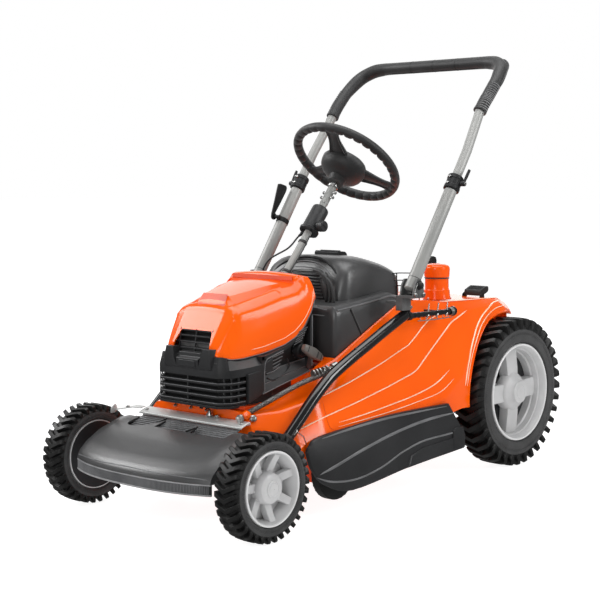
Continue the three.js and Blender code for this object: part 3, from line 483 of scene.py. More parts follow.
# seat on the axle, tread and bead radii, and how many lugs and sidewall teeth
wheels = {
    "front": dict(x=254, y=0, z=105, radius=105, half=28, bead=72.5, lugs=34, lugWide=4.3, depth=9.5,
                  slant=0.115,
                  bandTop=89, shoulder=13, ticks=150),
    "rear": dict(x=174, y=930, z=177, radius=177, half=37, bead=116, lugs=36, lugWide=6.4, depth=15,
                 slant=0.1,
                 bandTop=149, shoulder=20, ticks=210),
}


def seated(kind, sign):
    # from wheel space (outward, y, z) to the machine
    w = wheels[kind]
    return lambda p: (sign * (w["x"] + p[0]), w["y"] + p[1], w["z"] + p[2])


def tyre(kind, side, sign):
    # carcass, rings and fine teeth on the sidewalls, and chevron bars over the tread
    w = wheels[kind]
    r, half, depth = w["radius"], w["half"], w["depth"]
    shape = Shape()
    carcass = [(-0.8 * half, w["bead"] + 0.4), (-0.97 * half, w["bead"] + 5), (-0.97 * half, w["bandTop"]),
               (-0.9 * half, w["bandTop"] + 3), (-0.78 * half, r - depth - 2), (-0.5 * half, r - depth + 0.2),
               (0, r - depth + 1)]
    ring = carcass + [(-a, b) for a, b in reversed(carcass[:-1])]
    sides = 96
    points, faces = spun(ring, sides)
    shape.join((points, faces))
    for i in range(len(ring)):  # flat outer bands are the greyer sidewall, the tread floor is darkest
        band = 1 if i in (0, 1, len(ring) - 3, len(ring) - 2) else 2
        shape.paint[i * sides:(i + 1) * sides] = [band] * sides
    for reach in (w["bead"] + 6, w["bandTop"] - 5):
        for face in (-1, 1):
            x = face * 0.97 * half
            shape.join(spun([(x - 0.8, reach - 1), (x - 0.6, reach - 0.6), (x + 0.6 * face, reach),
                             (x - 0.6, reach + 0.6),
                             (x - 0.8, reach + 1)] if face > 0 else
                            [(x + 0.8, reach + 1), (x + 0.6, reach + 0.6), (x - 0.6, reach),
                             (x + 0.6, reach - 0.6),
                             (x + 0.8, reach - 1)], sides), 1)
    for t in around(w["ticks"]):  # fine teeth round the sidewall
        for face in (-1, 1):
            low, high = w["bandTop"] - 12, w["bandTop"] - 7
            tooth = []
            for x in (face * 0.965 * half, face * (0.97 * half + 0.7)):
                tooth.append([(x, r1 * cos(t + d / r1), r1 * sin(t + d / r1)) for r1, d in
                              ((low, -0.8), (high, -0.8), (high, 0.8), (low, 0.8))])
            shape.join(stacked(tooth), 1)
    sections = [  # half of one chevron bar: top (x, r), foot (x, r), turn, half width
        ((0, r), (0, r - depth), w["slant"], 1.0),
        ((0.5, r - 0.3), (0.5, r - depth), w["slant"] * 0.42, 0.97),
        ((0.86, r - 1.2), (0.74, r - depth - 1), 0.0, 0.95),
        ((0.985, r - 4.5), (0.8, r - depth - 3), -0.012, 0.9),
        ((1.0, r - w["shoulder"] * 0.75), (0.86, w["bandTop"] - 1), -0.014, 0.72),
        ((0.985, w["bandTop"] + 1.5), (0.9, w["bandTop"] - 2), -0.014, 0.5),
    ]
    whole = [((-a[0], a[1]), (-b[0], b[1]), t, h) for a, b, t, h in reversed(sections[1:])] + sections
    for spin in around(w["lugs"]):
        rings = []
        for top, foot, turn, share in whole:
            wide = w["lugWide"] * share
            ring = []
            for (x, radius), swell in ((top, 0), (foot, 1.4)):
                for hand in (-1, 1):
                    angle = spin + turn + hand * (wide + swell) / radius
                    ring.append((x * half, -radius * cos(angle), -radius * sin(angle)))
            rings.append([ring[0], ring[1], ring[3], ring[2]])
        shape.join(stacked(rings))
    shape.points = [seated(kind, sign)(p) for p in shape.points]
    return piece(f"{kind}Tyre_{side}", shape, f"{kind}_wheel_{side}",
                 ["treadRubber", "sidewall", "deepBlackAndShade"],
                 [f"{kind}_tyre_{side}"], bevel=0.7 if kind == "front" else 1.1, corner=50)


def spoke(angle, inner, outer, wideIn, wideOut, topIn, topOut, deep):
    # flat tapering arm from hub to barrel, with a slightly crowned top
    rings = []
    for t in (0, 0.33, 0.66, 1):
        radius = inner + (outer - inner) * t
        wide = wideIn + (wideOut - wideIn) * t
        top = topIn + (topOut - topIn) * (t ** 1.6)
        ring = []
        for across, height in ((-1, -deep), (-0.94, -1.4), (-0.82, 0), (0.82, 0), (0.94, -1.4), (1, -deep)):
            c, s = cos(angle), sin(angle)
            a = across * wide
            ring.append((top + height, radius * c - a * s, radius * s + a * c))
        rings.append(ring)
    return stacked(rings)


def frontRim(side, sign):
    # barrel, bright lip, a disc behind seven short spokes painted dark grey as shade, and a stepped hub
    look = dict(spokes=7, start=0.35)
    shape = Shape()
    lip = [(27.2, 70.5), (28, 69.8), (28, 68), (26.5, 66.5), (24, 66)]
    barrel = [(-26, 72.2), (25.5, 72.2), *lip, (12, 62.5), (-6, 60), (-8, 54), (-24, 54), (-26, 58)]
    shape.join(spun(barrel, 80))
    shape.join(spun([(27.3, 72), (28.4, 71.2), (28.4, 69.2), (27.3, 68.2), (25, 68.4), (25, 72)], 80), 1)
    shape.join(spun([(-8, 60), (-4, 60), (-3, 40), (-3, 20), (-8, 20)], 64))
    # back disc in dark grey: painted shade inside the wheel
    shape.join(spun([(-26.6, 70), (-22, 70), (-22, 20), (-25, 20), (-26, 40)], 64), 2)
    for k in range(look["spokes"]):
        shape.join(spoke(look["start"] + 2 * pi * k / look["spokes"], 22, 64.5, 9.5, 8.2, 8, 20, 15))
    hub = [(-8, 30), (0, 32.5), (10, 31.6), (19, 30), (23.5, 28), (25.8, 24.5), (26.6, 20), (26.6, 16.8),
           (28.2, 16.2),
           (29, 14.8), (29, 13.4), (28.2, 12.4), (28.6, 11.6), (29.6, 10.4), (29.8, 8), (29.8, 0.6)]
    shape.join(spun(hub + [(-8, 0.6)], 64, loop=False))
    shape.points = [seated("front", sign)(p) for p in shape.points]
    return piece(f"frontRim_{side}", shape, f"front_wheel_{side}", ["wheelGrey", "wheelLip", "softGrey"],
                 [f"front_rim_{side}"], bevel=0.8, corner=32)


def rearRim(side, sign):
    # the same with four wide paddles and a capped hub, and a back disc painted dark grey as shade
    look = dict(spokes=4, start=0.03)
    shape = Shape()
    barrel = [(-35, 115.6), (34, 115.6), (34, 110), (30, 107), (20, 104.5), (19, 101), (6, 99), (4, 95),
              (-14, 92),
              (-16, 86), (-33, 86), (-35, 92)]
    shape.join(spun(barrel, 96))
    shape.join(spun([(34, 115.4), (36.2, 114.4), (37, 112.8), (36.4, 110.8), (33, 110)], 96), 1)
    # back disc in dark grey: painted shade inside the wheel
    shape.join(spun([(-16, 94), (-12, 94), (-11, 60), (-11, 30), (-16, 30)], 64), 2)
    for k in range(look["spokes"]):
        angle = look["start"] + 2 * pi * k / look["spokes"]
        shape.join(spoke(angle, 30, 102, 22, 24, 16, 9, 24))
    hub = [(-16, 36), (-2, 46.5), (8, 46), (16, 44), (22, 39), (26, 32), (28.5, 30), (30, 28.5), (31, 27.6),
           (35.6, 26.4),
           (36.6, 25), (36.6, 17.6), (36.1, 17), (36.1, 15.6), (36.8, 15), (36.8, 0.6)]
    shape.join(spun([*hub, (35.2, 0.6), (35.2, 18.2), (-16, 18.2)], 64, loop=False))
    shape.points = [seated("rear", sign)(p) for p in shape.points]
    return piece(f"rearRim_{side}", shape, f"rear_wheel_{side}", ["wheelGrey", "wheelLip", "softGrey"],
                 [f"rear_rim_{side}"], bevel=1.0, corner=32)


for side, sign in hands.items():
    tyre("front", side, sign)
    tyre("rear", side, sign)
    frontRim(side, sign)
    rearRim(side, sign)
print("wheels built")

# y, then half a section from the inner top edge outwards and down: x, z
deckStations = [
    (78, (100, 224), (128, 218), (148, 196), (156, 160), (156, 128)),
    (140, (112, 232), (168, 222), (196, 180), (214, 150), (214, 128)),
    (215, (130, 252), (196, 240), (212, 204), (224, 168), (224, 136)),
    (330, (153, 312), (190, 264), (206, 222), (224, 172), (224, 140)),
    (440, (154, 366), (181, 290), (198, 241), (224, 180), (224, 142)),
    (550, (153, 418), (172, 322), (188, 262), (224, 190), (224, 150)),
    (625, (150, 412), (162, 366), (178, 308), (218, 200), (218, 160)),
    (700, (146, 404), (157, 386), (172, 357), (205, 235), (205, 165)),
    (771, (142, 402), (150, 392), (165, 380), (190, 310), (190, 160)),
    (857, (138, 400), (146, 394), (163, 382), (168, 366), (168, 160)),
    (930, (133, 398), (141, 393), (157, 381), (163, 367), (163, 160)),
    (985, (118, 386), (127, 380), (140, 366), (146, 352), (146, 170)),
]


def deckSection(y):
    # the five turning points of the section at y
    for low, high in zip(deckStations, deckStations[1:]):
        if y <= high[0]:
            break
    t = min(max((y - low[0]) / (high[0] - low[0]), 0), 1)
    return [mix(a, b, t) for a, b in zip(low[1:], high[1:])]


def deckSide(y, z, proud=0.0):
    # how far out the side stands at a height
    points = deckSection(y)
    for a, b in zip(points, points[1:]):
        if b[1] <= z <= a[1]:
            t = (a[1] - z) / max(a[1] - b[1], 0.001)
            return a[0] + (b[0] - a[0]) * t + proud
    return points[-1][0] + proud


def rounded(points, cut, steps=3):
    # a section with its inner corners rounded off by a fixed length
    made = [points[0]]
    for before, here, after in zip(points, points[1:], points[2:]):
        before, here, after = Vector(before), Vector(here), Vector(after)
        a = here + (before - here).normalized() * min(cut, (before - here).length * 0.45)
        b = here + (after - here).normalized() * min(cut, (after - here).length * 0.45)
        for i in range(steps + 1):
            t = i / steps
            made.append(tuple(a * (1 - t) ** 2 + here * 2 * t * (1 - t) + b * t * t))
    made.append(tuple(points[-1]))
    return made


# the bent tube along each side: how far out, its radius, its slot in the deck, and its line of y, z
frameTube = dict(x=203, radius=11.8, slot=13.6,
                 line=[(118, 170), (158, 206), (201, 245), (240, 275), (262, 288), (286, 300), (320, 316),
                       (379, 342),
                       (430, 365), (494, 392)])


def deckSkin():
    look = dict(wall=4.2, corner=5, step=12, seatHalf=125, seatFloor=233, arch=187)
    shape = Shape()
    rows = []
    ys = []
    for low, high in zip(deckStations, deckStations[1:]):
        count = max(int((high[0] - low[0]) / look["step"]), 1)
        ys += [low[0] + (high[0] - low[0]) * i / count for i in range(count)]
    ys.append(deckStations[-1][0])
    for y in ys:
        section = deckSection(y)
        crown = (0, section[0][1] + 1.5)
        half = rounded([crown, *section], look["corner"])
        middle = [mix(half[0], half[1], t / 4) for t in range(4)]
        half = middle + half[1:]
        ring = [(-x, y, z) for x, z in reversed(half[1:])] + [(x, y, z) for x, z in half]
        rows.append(ring)
    shape.join(stacked(rows, ends=False, closed=False))
    for row in (rows[0], rows[-1]):  # closing walls at the nose and the tail
        shape.join((row, [tuple(range(len(row)))]))
    carve = [
        brick((-look["seatHalf"], look["seatHalf"]), (60, 322), (look["seatFloor"], 420)),
        brick((-150.6, 150.6), (325, 593), (302, 520)),
        brick((-13, 13), (818, 872), (300, 460)),
    ]
    for sign in (1, -1):
        arch = [(a * sign, 930 + look["arch"] * cos(t), 177 + look["arch"] * sin(t))
                for a in (131, 260) for t in around(72)]
        carve.append(stacked([arch[:72], arch[72:]]))
        route = [(frameTube["x"] * sign, y, z) for y, z in frameTube["line"]]
        carve.append(tube(flowing(route, 3), frameTube["slot"], 16))
    piece("deckSkin", shape, "chassis", ["orangeGloss"], ["deck_shell"], corner=24,
          shell=look["wall"], carve=carve)


def deckInside():
    # walls of the cutting chamber and the roof over it, painted darker orange as shade inside the deck
    shape = Shape().join(brick((-180, 180), (226, 232), (66, 228)))
    side = [(deckSide(659, z) - 7, z) for z in (88, 140, 190, 240, 284)]
    shape.join(slab(side + [(-x, z) for x, z in reversed(side)], 656, 662, "y"))
    shape.join(brick((-182, 182), (232, 330), (222, 228)))
    shape.join(brick((-150, 150), (324, 593), (296, 300.5)))
    shape.join(brick((-124, 124), (84, 232), (226, 232)))
    for x in (-120, -40, 40, 120):
        shape.join(brick((x - 2, x + 2), (330, 656), (290, 297)))
        shape.join(brick((x - 2, x + 2), (90, 226), (214, 227)))
    piece("deckInside", shape, "chassis", ["orangeShadeAndDarkTone"], bevel=1)


def bead(name, points, radius, skin, body="chassis", squash=0.55):
    # thin raised line that tapers away at both ends
    path = flowing(points, 6)
    count = len(path)
    radii = [radius * min(1, 0.15 + min(i, count - 1 - i) / 6) for i in range(count)]
    return piece(name, Shape().join(tube(path, radii, 8, flat=squash)), body, [skin])


def bodyLines():
    # painted highlights, as pale beads, run along the pressed creases
    look = dict(width=1.9, archBeads=[(190.5, 1.7, "orangeGloss"), (203, 1.2, "orangePaintedHighlight"),
                                      (214, 2.0, "orangePaintedHighlight")])
    for side, sign in hands.items():
        upper = [(sign * (deckSection(y)[1][0] - 0.2), y, deckSection(y)[1][1] - 0.3)
                 for y in range(236, 700, 22)]
        bead(f"creaseUpper_{side}", upper, look["width"], "orangePaintedHighlight")
        lower = [(sign * (deckSection(y)[2][0] + 0.1), y, deckSection(y)[2][1])
                 for y in list(range(150, 760, 24)) + [771]]
        bead(f"creaseLower_{side}", lower, look["width"] * 1.15, "orangePaintedHighlight")
        low = [(sign * deckSide(y, z, 0.2), y, z) for y, z in
               [(262, 190), (330, 195), (420, 204), (520, 216), (600, 232), (660, 256)]]
        bead(f"creaseSill_{side}", low, look["width"], "orangePaintedHighlight")
        sill = [(sign * deckSide(y, z, 0.2), y, z) for y, z in
                [(258, 182), (330, 186), (420, 192), (520, 202), (610, 214), (668, 236)]]
        bead(f"creaseSillLow_{side}", sill, look["width"] * 0.7, "orangePaintedHighlight")
        top = [(sign * (deckSection(y)[0][0] + 1), y, deckSection(y)[0][1] + 0.2)
               for y in range(690, 985, 20)]
        bead(f"creaseTop_{side}", top, look["width"] * 0.9, "orangePaintedHighlight")
        for number, (reach, width, skin) in enumerate(look["archBeads"], 1):
            arch = []
            for degrees in range(56, 176, 6):
                t = radians(degrees)
                y, z = 930 + reach * cos(t), 177 + reach * sin(t)
                if y < 984:
                    arch.append((sign * deckSide(y, z, 0.1), y, z))
            bead(f"archBead{number}_{side}", arch, width, skin)
        seam = [(sign * deckSide(y, z, 0.05), y, z) for y, z in [(232, 236), (230, 220), (229, 200),
                                                                 (232, 184), (246, 176)]]
        bead(f"panelSeam_{side}", seam, 0.7, "orangeShadeAndDarkTone")


def rearDeckTop():
    # shallow raised panel and the fillet under the filler
    look = dict(half=96, front=664, back=806, steps=((0, 398), (3, 401.5), (9, 404)))
    shape = Shape()
    rings = []
    for inset, z in look["steps"]:
        x, front, back = look["half"] - inset, look["front"] + inset, look["back"] - inset
        rings.append([(-x, front, z), (x, front, z), (x, back, z), (-x, back, z)])
    shape.join(stacked(rings))
    piece("rearDeckPanel", shape, "chassis", ["orangeGloss"], bevel=3, steps=3)
    slot = Shape().join(stacked([
        [(-17, 812, z), (17, 812, z), (17, 878, z), (-17, 878, z)] for z in (398, 404.5)]))
    hole = brick((-12, 12), (818, 872), (390, 420))
    piece("leverGate", slot, "chassis", ["satinBlack"], carve=[hole], corner=30)


def skirt(side, sign):
    # moulded side skirt with raised contours painted pale as highlights, a lower plate and the roller bolt
    look = dict(inner=224.8, outer=236)
    outline = [(150, 145), (166, 108), (205, 72), (289, 48), (459, 66), (560, 74), (674, 82), (676, 112),
               (645, 152),
               (615, 189), (426, 189), (300, 181), (184, 171)]
    soft = flowing([(0, y, z) for y, z in outline[:5]], 5)
    edge = [(p[1], p[2]) for p in soft[:-1]] + outline[4:]
    top = flowing([(0, y, z) for y, z in [(615, 189), (426, 189), (300, 181), (184, 171), (158, 156),
                                          (150, 145)]], 6)
    edge = edge[:edge.index((615, 189))] + [(p[1], p[2]) for p in top[:-1]]
    centre = (sum(p[0] for p in edge) / len(edge), sum(p[1] for p in edge) / len(edge))

    def inward(p, d):
        v = Vector(p) - Vector(centre)
        return tuple(Vector(p) - v.normalized() * d)

    shape = Shape()
    rings = []
    for x, d in ((look["inner"], 0), (look["outer"] - 6, 0), (look["outer"] - 4.2, 1.2),
                 (look["outer"] - 3.4, 3.2)):
        rings.append([(sign * x, *inward(p, d)) for p in edge])
    shape.join(stacked(rings))

    def highlightContour(points, wide, out, skin=0):
        path = flowing([(sign * out, y, z) for y, z in points], 8)
        count = len(path)
        radii = [wide * min(1, 0.2 + min(i, count - 1 - i) / 8) for i in range(count)]
        shape.join(tube(path, radii, 10, flat=0.5, up=(1, 0, 0)), skin)

    highlightContour([(186, 96), (240, 108), (320, 128), (430, 150), (540, 163), (640, 166)], 3.4,
            look["outer"] - 3.6, 1)
    highlightContour([(176, 92), (225, 76), (300, 70), (380, 82), (450, 104), (520, 118), (600, 121), (652, 122)], 2.2,
            look["outer"] - 3.4, 1)
    highlightContour([(192, 168), (300, 178), (426, 184), (606, 184)], 2.6, look["outer"] - 3.2, 1)
    plate = [(470, 68), (478, 92), (520, 104), (640, 112), (640, 84), (560, 76)]
    rings = [[(sign * x, *mix((560, 90), p, s)) for p in plate] for x, s in
             ((look["outer"] - 4, 1), (look["outer"] - 1.6, 0.985), (look["outer"] - 0.8, 0.95))]
    shape.join(stacked(rings))
    block = [(628, 86), (628, 126), (638, 134), (664, 132), (673, 112), (672, 84)]
    rings = [[(sign * x, *mix((650, 108), p, s)) for p in block] for x, s in
             ((look["outer"] - 4, 1.0), (look["outer"] - 0.6, 0.97), (look["outer"], 0.9))]
    shape.join(stacked(rings))
    bolt = turnedAlong((sign * look["inner"], 265, 88), (sign * 150, 265, 88),
                       [(-0.5, 12), (8, 12), (8, 6), (43, 6), (43.4, 10), (46.8, 9), (47, 3)], 24)
    shape.join(bolt, 2)
    piece(f"skirtPanel_{side}", shape, "chassis", ["softGrey", "greyTrimAndPaintedHighlight", "satinBlack"],
          [f"skirt_{side}"], bevel=1.4, corner=40)


def trailingRoller(side, sign):
    # each cleat: half width, radius and half angle, foot then top
    look = dict(cleats=28, cleat=((12, 55.5, 0.055), (10, 57.9, 0.035)), seat=(200, 265, 88))
    ring = [(-15, 8), (-15, 50), (-13, 54), (-9, 58), (9, 58), (13, 54), (15, 50), (15, 8)]
    shape = Shape().join(spun(ring, 64))
    for t in around(look["cleats"]):
        shape.join(stacked([[(x, r * cos(t + d), r * sin(t + d)) for x, d in
                             ((-half, -w), (half, -w), (half, w), (-half, w))]
                             for half, r, w in look["cleat"]]))
    x, y, z = look["seat"]
    shape.points = [(sign * (x + p[0]), y + p[1], z + p[2]) for p in shape.points]
    piece(f"trailingRoller_{side}", shape, f"gauge_{side}", ["treadRubber"],
          [f"gauge_wheel_{side}"], bevel=0.6)


deckSkin()
deckInside()
bodyLines()
rearDeckTop()
for side, sign in hands.items():
    skirt(side, sign)
    trailingRoller(side, sign)
print("deck built")

cover = dict(half=195, nose=-118, sweep=38, back=41, wall=3.6, ribs=124,
             heights=[(0, 113), (0.012, 121), (0.06, 131), (0.2, 147), (0.5, 169), (1, 190)])


def noseAt(x):
    # how far forward the cover reaches
    return cover["nose"] + cover["sweep"] * (abs(x) / cover["half"]) ** 2.6


def coverHeight(share):
    keys = cover["heights"]
    for (a, low), (b, high) in zip(keys, keys[1:]):
        if share <= b:
            return low + (high - low) * (share - a) / (b - a)
    return keys[-1][1]


def coverTop(x, share):
    # smooth through the profile's corners by averaging its neighbours
    spread = 0.006 + 0.05 * share
    total = sum(coverHeight(min(max(share + spread * k, 0), 1)) for k in (-1, -0.5, 0, 0.5, 1)) / 5
    nose = noseAt(x)
    drop = 5 * ease(0.86, 1.0, abs(x) / cover["half"])
    return (x, nose + (cover["back"] - nose) * share, total - drop * (0.3 + 0.7 * share))


def frontCoverSkin():
    # domed nose cover, open over the axle and behind the screen
    shape = Shape()
    shares = [0, 0.006, 0.014, 0.025, 0.04, 0.06, 0.09, 0.13, 0.18, 0.24, 0.31, 0.39, 0.48, 0.58, 0.68,
              0.78, 0.88, 1.0]
    xs = [cover["half"] * sin(pi / 2 * k / 22) for k in range(-22, 23)]
    shape.join(stacked([[coverTop(x, s) for s in shares] for x in xs], ends=False, closed=False))
    for sign in (1, -1):  # turned-down sides
        rows = []
        for drop in (0, 0.5, 1):
            row = []
            for s in shares:
                x, y, z = coverTop(sign * cover["half"], s)
                row.append((x, max(y, noseAt(195)), z + (min(z, 119) - z) * drop if y > -46
                            else z - (z - 112) * drop))
            rows.append(row)
        shape.join(stacked(rows, ends=False, closed=False))
    arch = flowing([(-140, 40, 0), (-141, 12, 0), (-128, 2, 0), (-106, 3, 0), (-84, 13, 0), (-70, 30, 0),
                    (-66, 48, 0)], 5)
    window = [(x, y) for x, y, z in arch] + [(-66, 60), (-140, 60)]
    wide = [(-60, 60), (-60, 10), (-20, 8.5), (22, 8.5), (34, 12), (44, 26), (52, 12), (64, 8.5), (136, 10),
            (140, 16), (140, 60)]
    carve = [slab(window, 120, 230, "z"), slab(wide, 120, 230, "z"),
             brick((184, 202), (-14, 14), (98, 129.5)), brick((-202, -184), (-14, 14), (98, 129.5))]
    piece("frontCoverSkin", shape, "chassis", ["boxGrey"], ["front_cover"], corner=38,
          shell=cover["wall"], carve=carve)
    lugs = Shape()
    for sign in (1, -1):
        lugs.join(brick((sign * 96, sign * 108) if sign > 0 else (-108, -96), (-5, 5), (116.8, 176)))
    # pale bead along the front edge: a painted highlight
    paintedHighlightRidge = [coverTop(x, 0.02 + 0.02 * (1 - abs(x) / 195)) for x in range(-188, 189, 8)]
    lugs.join(tube([(x, y - 0.3, z - 0.4) for x, y, z in paintedHighlightRidge], 1.1, 8), 1)
    piece("coverLugs", lugs, "chassis", ["satinBlack", "greyTrimAndPaintedHighlight"], bevel=0.6)


def noseBand():
    # ribbed lip along the front edge
    look = dict(low=90, high=113, thick=4.2)
    shape = Shape()
    xs = [195 * sin(pi / 2 * k / 30) for k in range(-30, 31)]
    for low, high, out in ((look["low"], look["low"] + 3.4, 0), (look["high"] - 3, look["high"], 0.2),
                           (look["low"] + 3, look["high"] - 2.6, 2.6)):
        rings = []
        for x in xs:
            y = noseAt(x) + out
            rings.append([(x, y, low), (x, y, high), (x, y + look["thick"] + 1 - out, high),
                          (x, y + look["thick"] + 1 - out, low)])
        shape.join(stacked(rings), 0 if out > 1 else 1)
    for k in range(cover["ribs"]):
        x = -191 + 382 * k / (cover["ribs"] - 1)
        y = noseAt(x)
        shape.join(brick((x - 0.8, x + 0.8), (y + 0.1, y + 3.2), (look["low"] + 2.5, look["high"] - 2)), 2)
    piece("noseBand", shape, "chassis", ["deepBlackAndShade", "ribGrey", "greyTrimAndPaintedHighlight"],
          ["front_band"], bevel=0.5)


def slattedScreen():
    look = dict(bars=9, uprights=46)
    shape = Shape()
    a, b = Vector((0, 9, 170.5)), Vector((0, 52, 191.5))
    for k in range(look["bars"]):
        spot = a.lerp(b, k / (look["bars"] - 1))
        shape.join(slab([(spot.y - 1.5, spot.z - 1.6), (spot.y + 2.6, spot.z - 0.6),
                         (spot.y + 2.6, spot.z + 1.6),
                         (spot.y - 1.5, spot.z + 0.6)], -140.5, 140.5))
    for k in range(look["uprights"]):
        x = -139 + 278 * k / (look["uprights"] - 1)
        shape.join(slab([(8, 168.6), (53, 189.8), (53, 191.2), (8, 170)], x - 0.7, x + 0.7))
    # near-black plate under the slats: a sheet of painted shade that closes the view through
    shape.join(slab([(-16, 157), (54, 186), (54, 187), (-16, 158)], -166, 166), 1)
    for x, y in ((34, 9), (50, 9)):
        shape.join(tube([(x, y, coverHeight(0.8) + 1), (43, 33, 189)], 1.6, 8), 2)
    shape.join(tube(flowing([(-66, 52, 192), (-70, 32, 187), (-84, 15, 181), (-104, 5, 177),
                             (-126, 4, 176)], 5), 1.5, 8), 2)
    piece("slattedScreen", shape, "chassis", ["greyTrimAndPaintedHighlight", "deepBlackAndShade", "satinBlack"],
          ["front_screen"], bevel=0.3)


def alloyStrip():
    # bright folded strip over the axle
    look = dict(half=150, thick=2.4)
    line = [(48.5, 198), (52, 199.6), (66, 204.6), (73.6, 206.8)]
    under = [(y, z - look["thick"]) for y, z in reversed(line)]
    shape = Shape().join(slab(line + under, -look["half"], look["half"]))
    shape.join(brick((-148, 148), (67, 77), (200.4, 204.4)))
    shape.join(slab([(48.2, 194.5), (50.4, 194.5), (50.4, 199), (48.2, 198.2)], -look["half"], look["half"]))
    for x in (-138, 138):
        shape.join(turnedAlong((x, 60, 203), (x, 58.5, 207.5), [(0, 4), (1.8, 4), (2.6, 2.5)], 16), 1)
    piece("alloyStrip", shape, "chassis", ["stripAlloy", "brightSteel"], ["front_strip"],
          bevel=0.8, steps=3)


frontCoverSkin()
noseBand()
slattedScreen()
alloyStrip()
print("front end built")

# y, then half a section of the hood from the middle of its top down: x, z
hoodStations = [
    (58, (0, 352), (57, 350), (68, 341), (75, 322)),
    (68, (0, 369), (55, 367.5), (76, 357), (83, 330)),
    (80, (0, 389.5), (55, 387.5), (80, 377), (88, 338)),
    (95, (0, 415), (55, 412), (83, 402), (92, 350)),
    (97, (0, 419.5), (57, 416.5), (84, 406), (92.5, 352)),
    (100, (0, 423), (58, 420), (85, 409.5), (93.5, 354)),
    (104, (0, 426), (59, 423.5), (86, 412.5), (94.5, 356)),
    (108, (0, 428), (60, 425.5), (87.5, 415), (95.5, 358)),
    (150, (0, 440), (72, 436), (96, 421), (104, 370)),
    (220, (0, 461), (90, 455), (109, 437), (115, 392)),
    (250, (0, 469), (98, 459), (113, 443), (118, 410)),
    (280, (0, 486), (101, 480), (115, 462), (120, 430)),
    (296, (0, 485), (102, 478), (115.5, 460), (121, 440)),
]
hoodEdge = [(54, 331), (86, 323), (112, 325), (160, 332), (210, 345), (240, 359), (265, 380), (284, 408),
            (300, 449)]
hoodLook = dict(
    panelFront=114, panelWall=128, panelBack=241, panelHalf=(36, 68), panelRise=(13, 3.5), chamfer=(15, 5),
    wingDeep=2.6, groove=(54, 93), scoopFront=103, scoopDeep=3.2, slotDeep=5, slotEnd=262, lipRise=5,
    wall=3.6,
)


def along(line, y):
    # height of a broken line at y
    for a, b in zip(line, line[1:]):
        if y <= b[0]:
            break
    t = min(max((y - a[0]) / (b[0] - a[0]), 0), 1)
    return a[1] + (b[1] - a[1]) * t


def ramp(low, high, x):
    return min(max((x - low) / (high - low), 0), 1)


def hoodProfile(y):
    # half a section at y, from the middle of the top down to the lower edge
    for low, high in zip(hoodStations, hoodStations[1:]):
        if y <= high[0]:
            break
    t = ramp(low[0], high[0], y)
    points = [mix(a, b, t) for a, b in zip(low[1:], high[1:])]
    edge = max(along(hoodEdge, y), 300)
    foot = (points[-1][0] + 1.0, edge)
    if points[-1][1] < edge + 4:
        points = [p for p in points if p[1] > edge + 4]
    return points + [foot]


def hoodRow(y):
    # one half row: panel, its chamfer, the lower wing, the groove and the side, each on its own columns
    h = hoodLook
    profile = hoodProfile(y)
    middle, shoulder = profile[0][1], profile[1]
    t = ramp(h["panelFront"], h["panelBack"], y)
    half = h["panelHalf"][0] + (h["panelHalf"][1] - h["panelHalf"][0]) * t
    chamfer = h["chamfer"][0] + (h["chamfer"][1] - h["chamfer"][0]) * t
    groove = h["groove"][0] + (h["groove"][1] - h["groove"][0]) * ramp(118, 256, y)
    rise = (h["panelRise"][0] + (h["panelRise"][1] - h["panelRise"][0]) * t) * ramp(h["panelFront"],
                                                                                    h["panelWall"], y)
    rise *= 1 - ramp(h["panelBack"], h["panelBack"] + 2, y)
    wing = h["wingDeep"] * ramp(106, 124, y)
    slot = h["slotDeep"] * ramp(h["panelBack"], h["panelBack"] + 2.5,
                                y) * (1 - ramp(h["slotEnd"], h["slotEnd"] + 3, y))
    lip = h["lipRise"] * ramp(h["slotEnd"], h["slotEnd"] + 4, y) * (1 - ramp(270, 282, y))
    scoop = h["scoopDeep"] * ramp(h["scoopFront"], h["scoopFront"] + 1.5,
                                  y) * (1 - ramp(h["panelFront"], h["panelFront"] + 1, y))
    rear = ramp(h["panelBack"], h["panelBack"] + 2.5, y)

    def top(x):
        return middle + (shoulder[1] - middle) * (x / shoulder[0]) ** 2

    row = []
    for k in range(12):
        x = half * k / 12
        row.append((x, top(x) + rise - scoop - slot + lip))
    for k in range(4):
        x = half + chamfer * k / 4
        row.append((x, top(x) + rise * (1 - k / 4) - wing * (1 - rear) * k / 4 - scoop
                    * (1 - ramp(0, 1.5, k)) - slot + lip))
    for k in range(6):
        x = half + chamfer + (groove - half - chamfer) * k / 6
        row.append((x, top(x) - wing * (1 - rear) - slot + lip))
    row.append((groove, top(groove) - wing * (1 - rear) - slot + lip))
    start = groove + 2.2
    rest = [(start, top(start))] + ([shoulder] if shoulder[0] > start + 5 else []) + profile[2:]
    soft = rounded(rest, 17 if y > 97 else 9, 8)
    lengths = [0.0]
    for a, b in zip(soft, soft[1:]):
        lengths.append(lengths[-1] + dist(a, b))
    for k in range(31):
        far = lengths[-1] * k / 30
        i = min(max(n for n in range(len(lengths)) if lengths[n] <= far + 1e-9), len(soft) - 2)
        part = min((far - lengths[i]) / max(lengths[i + 1] - lengths[i], 1e-6), 1)
        row.append(tuple(mix(soft[i], soft[i + 1], part)))
    return row


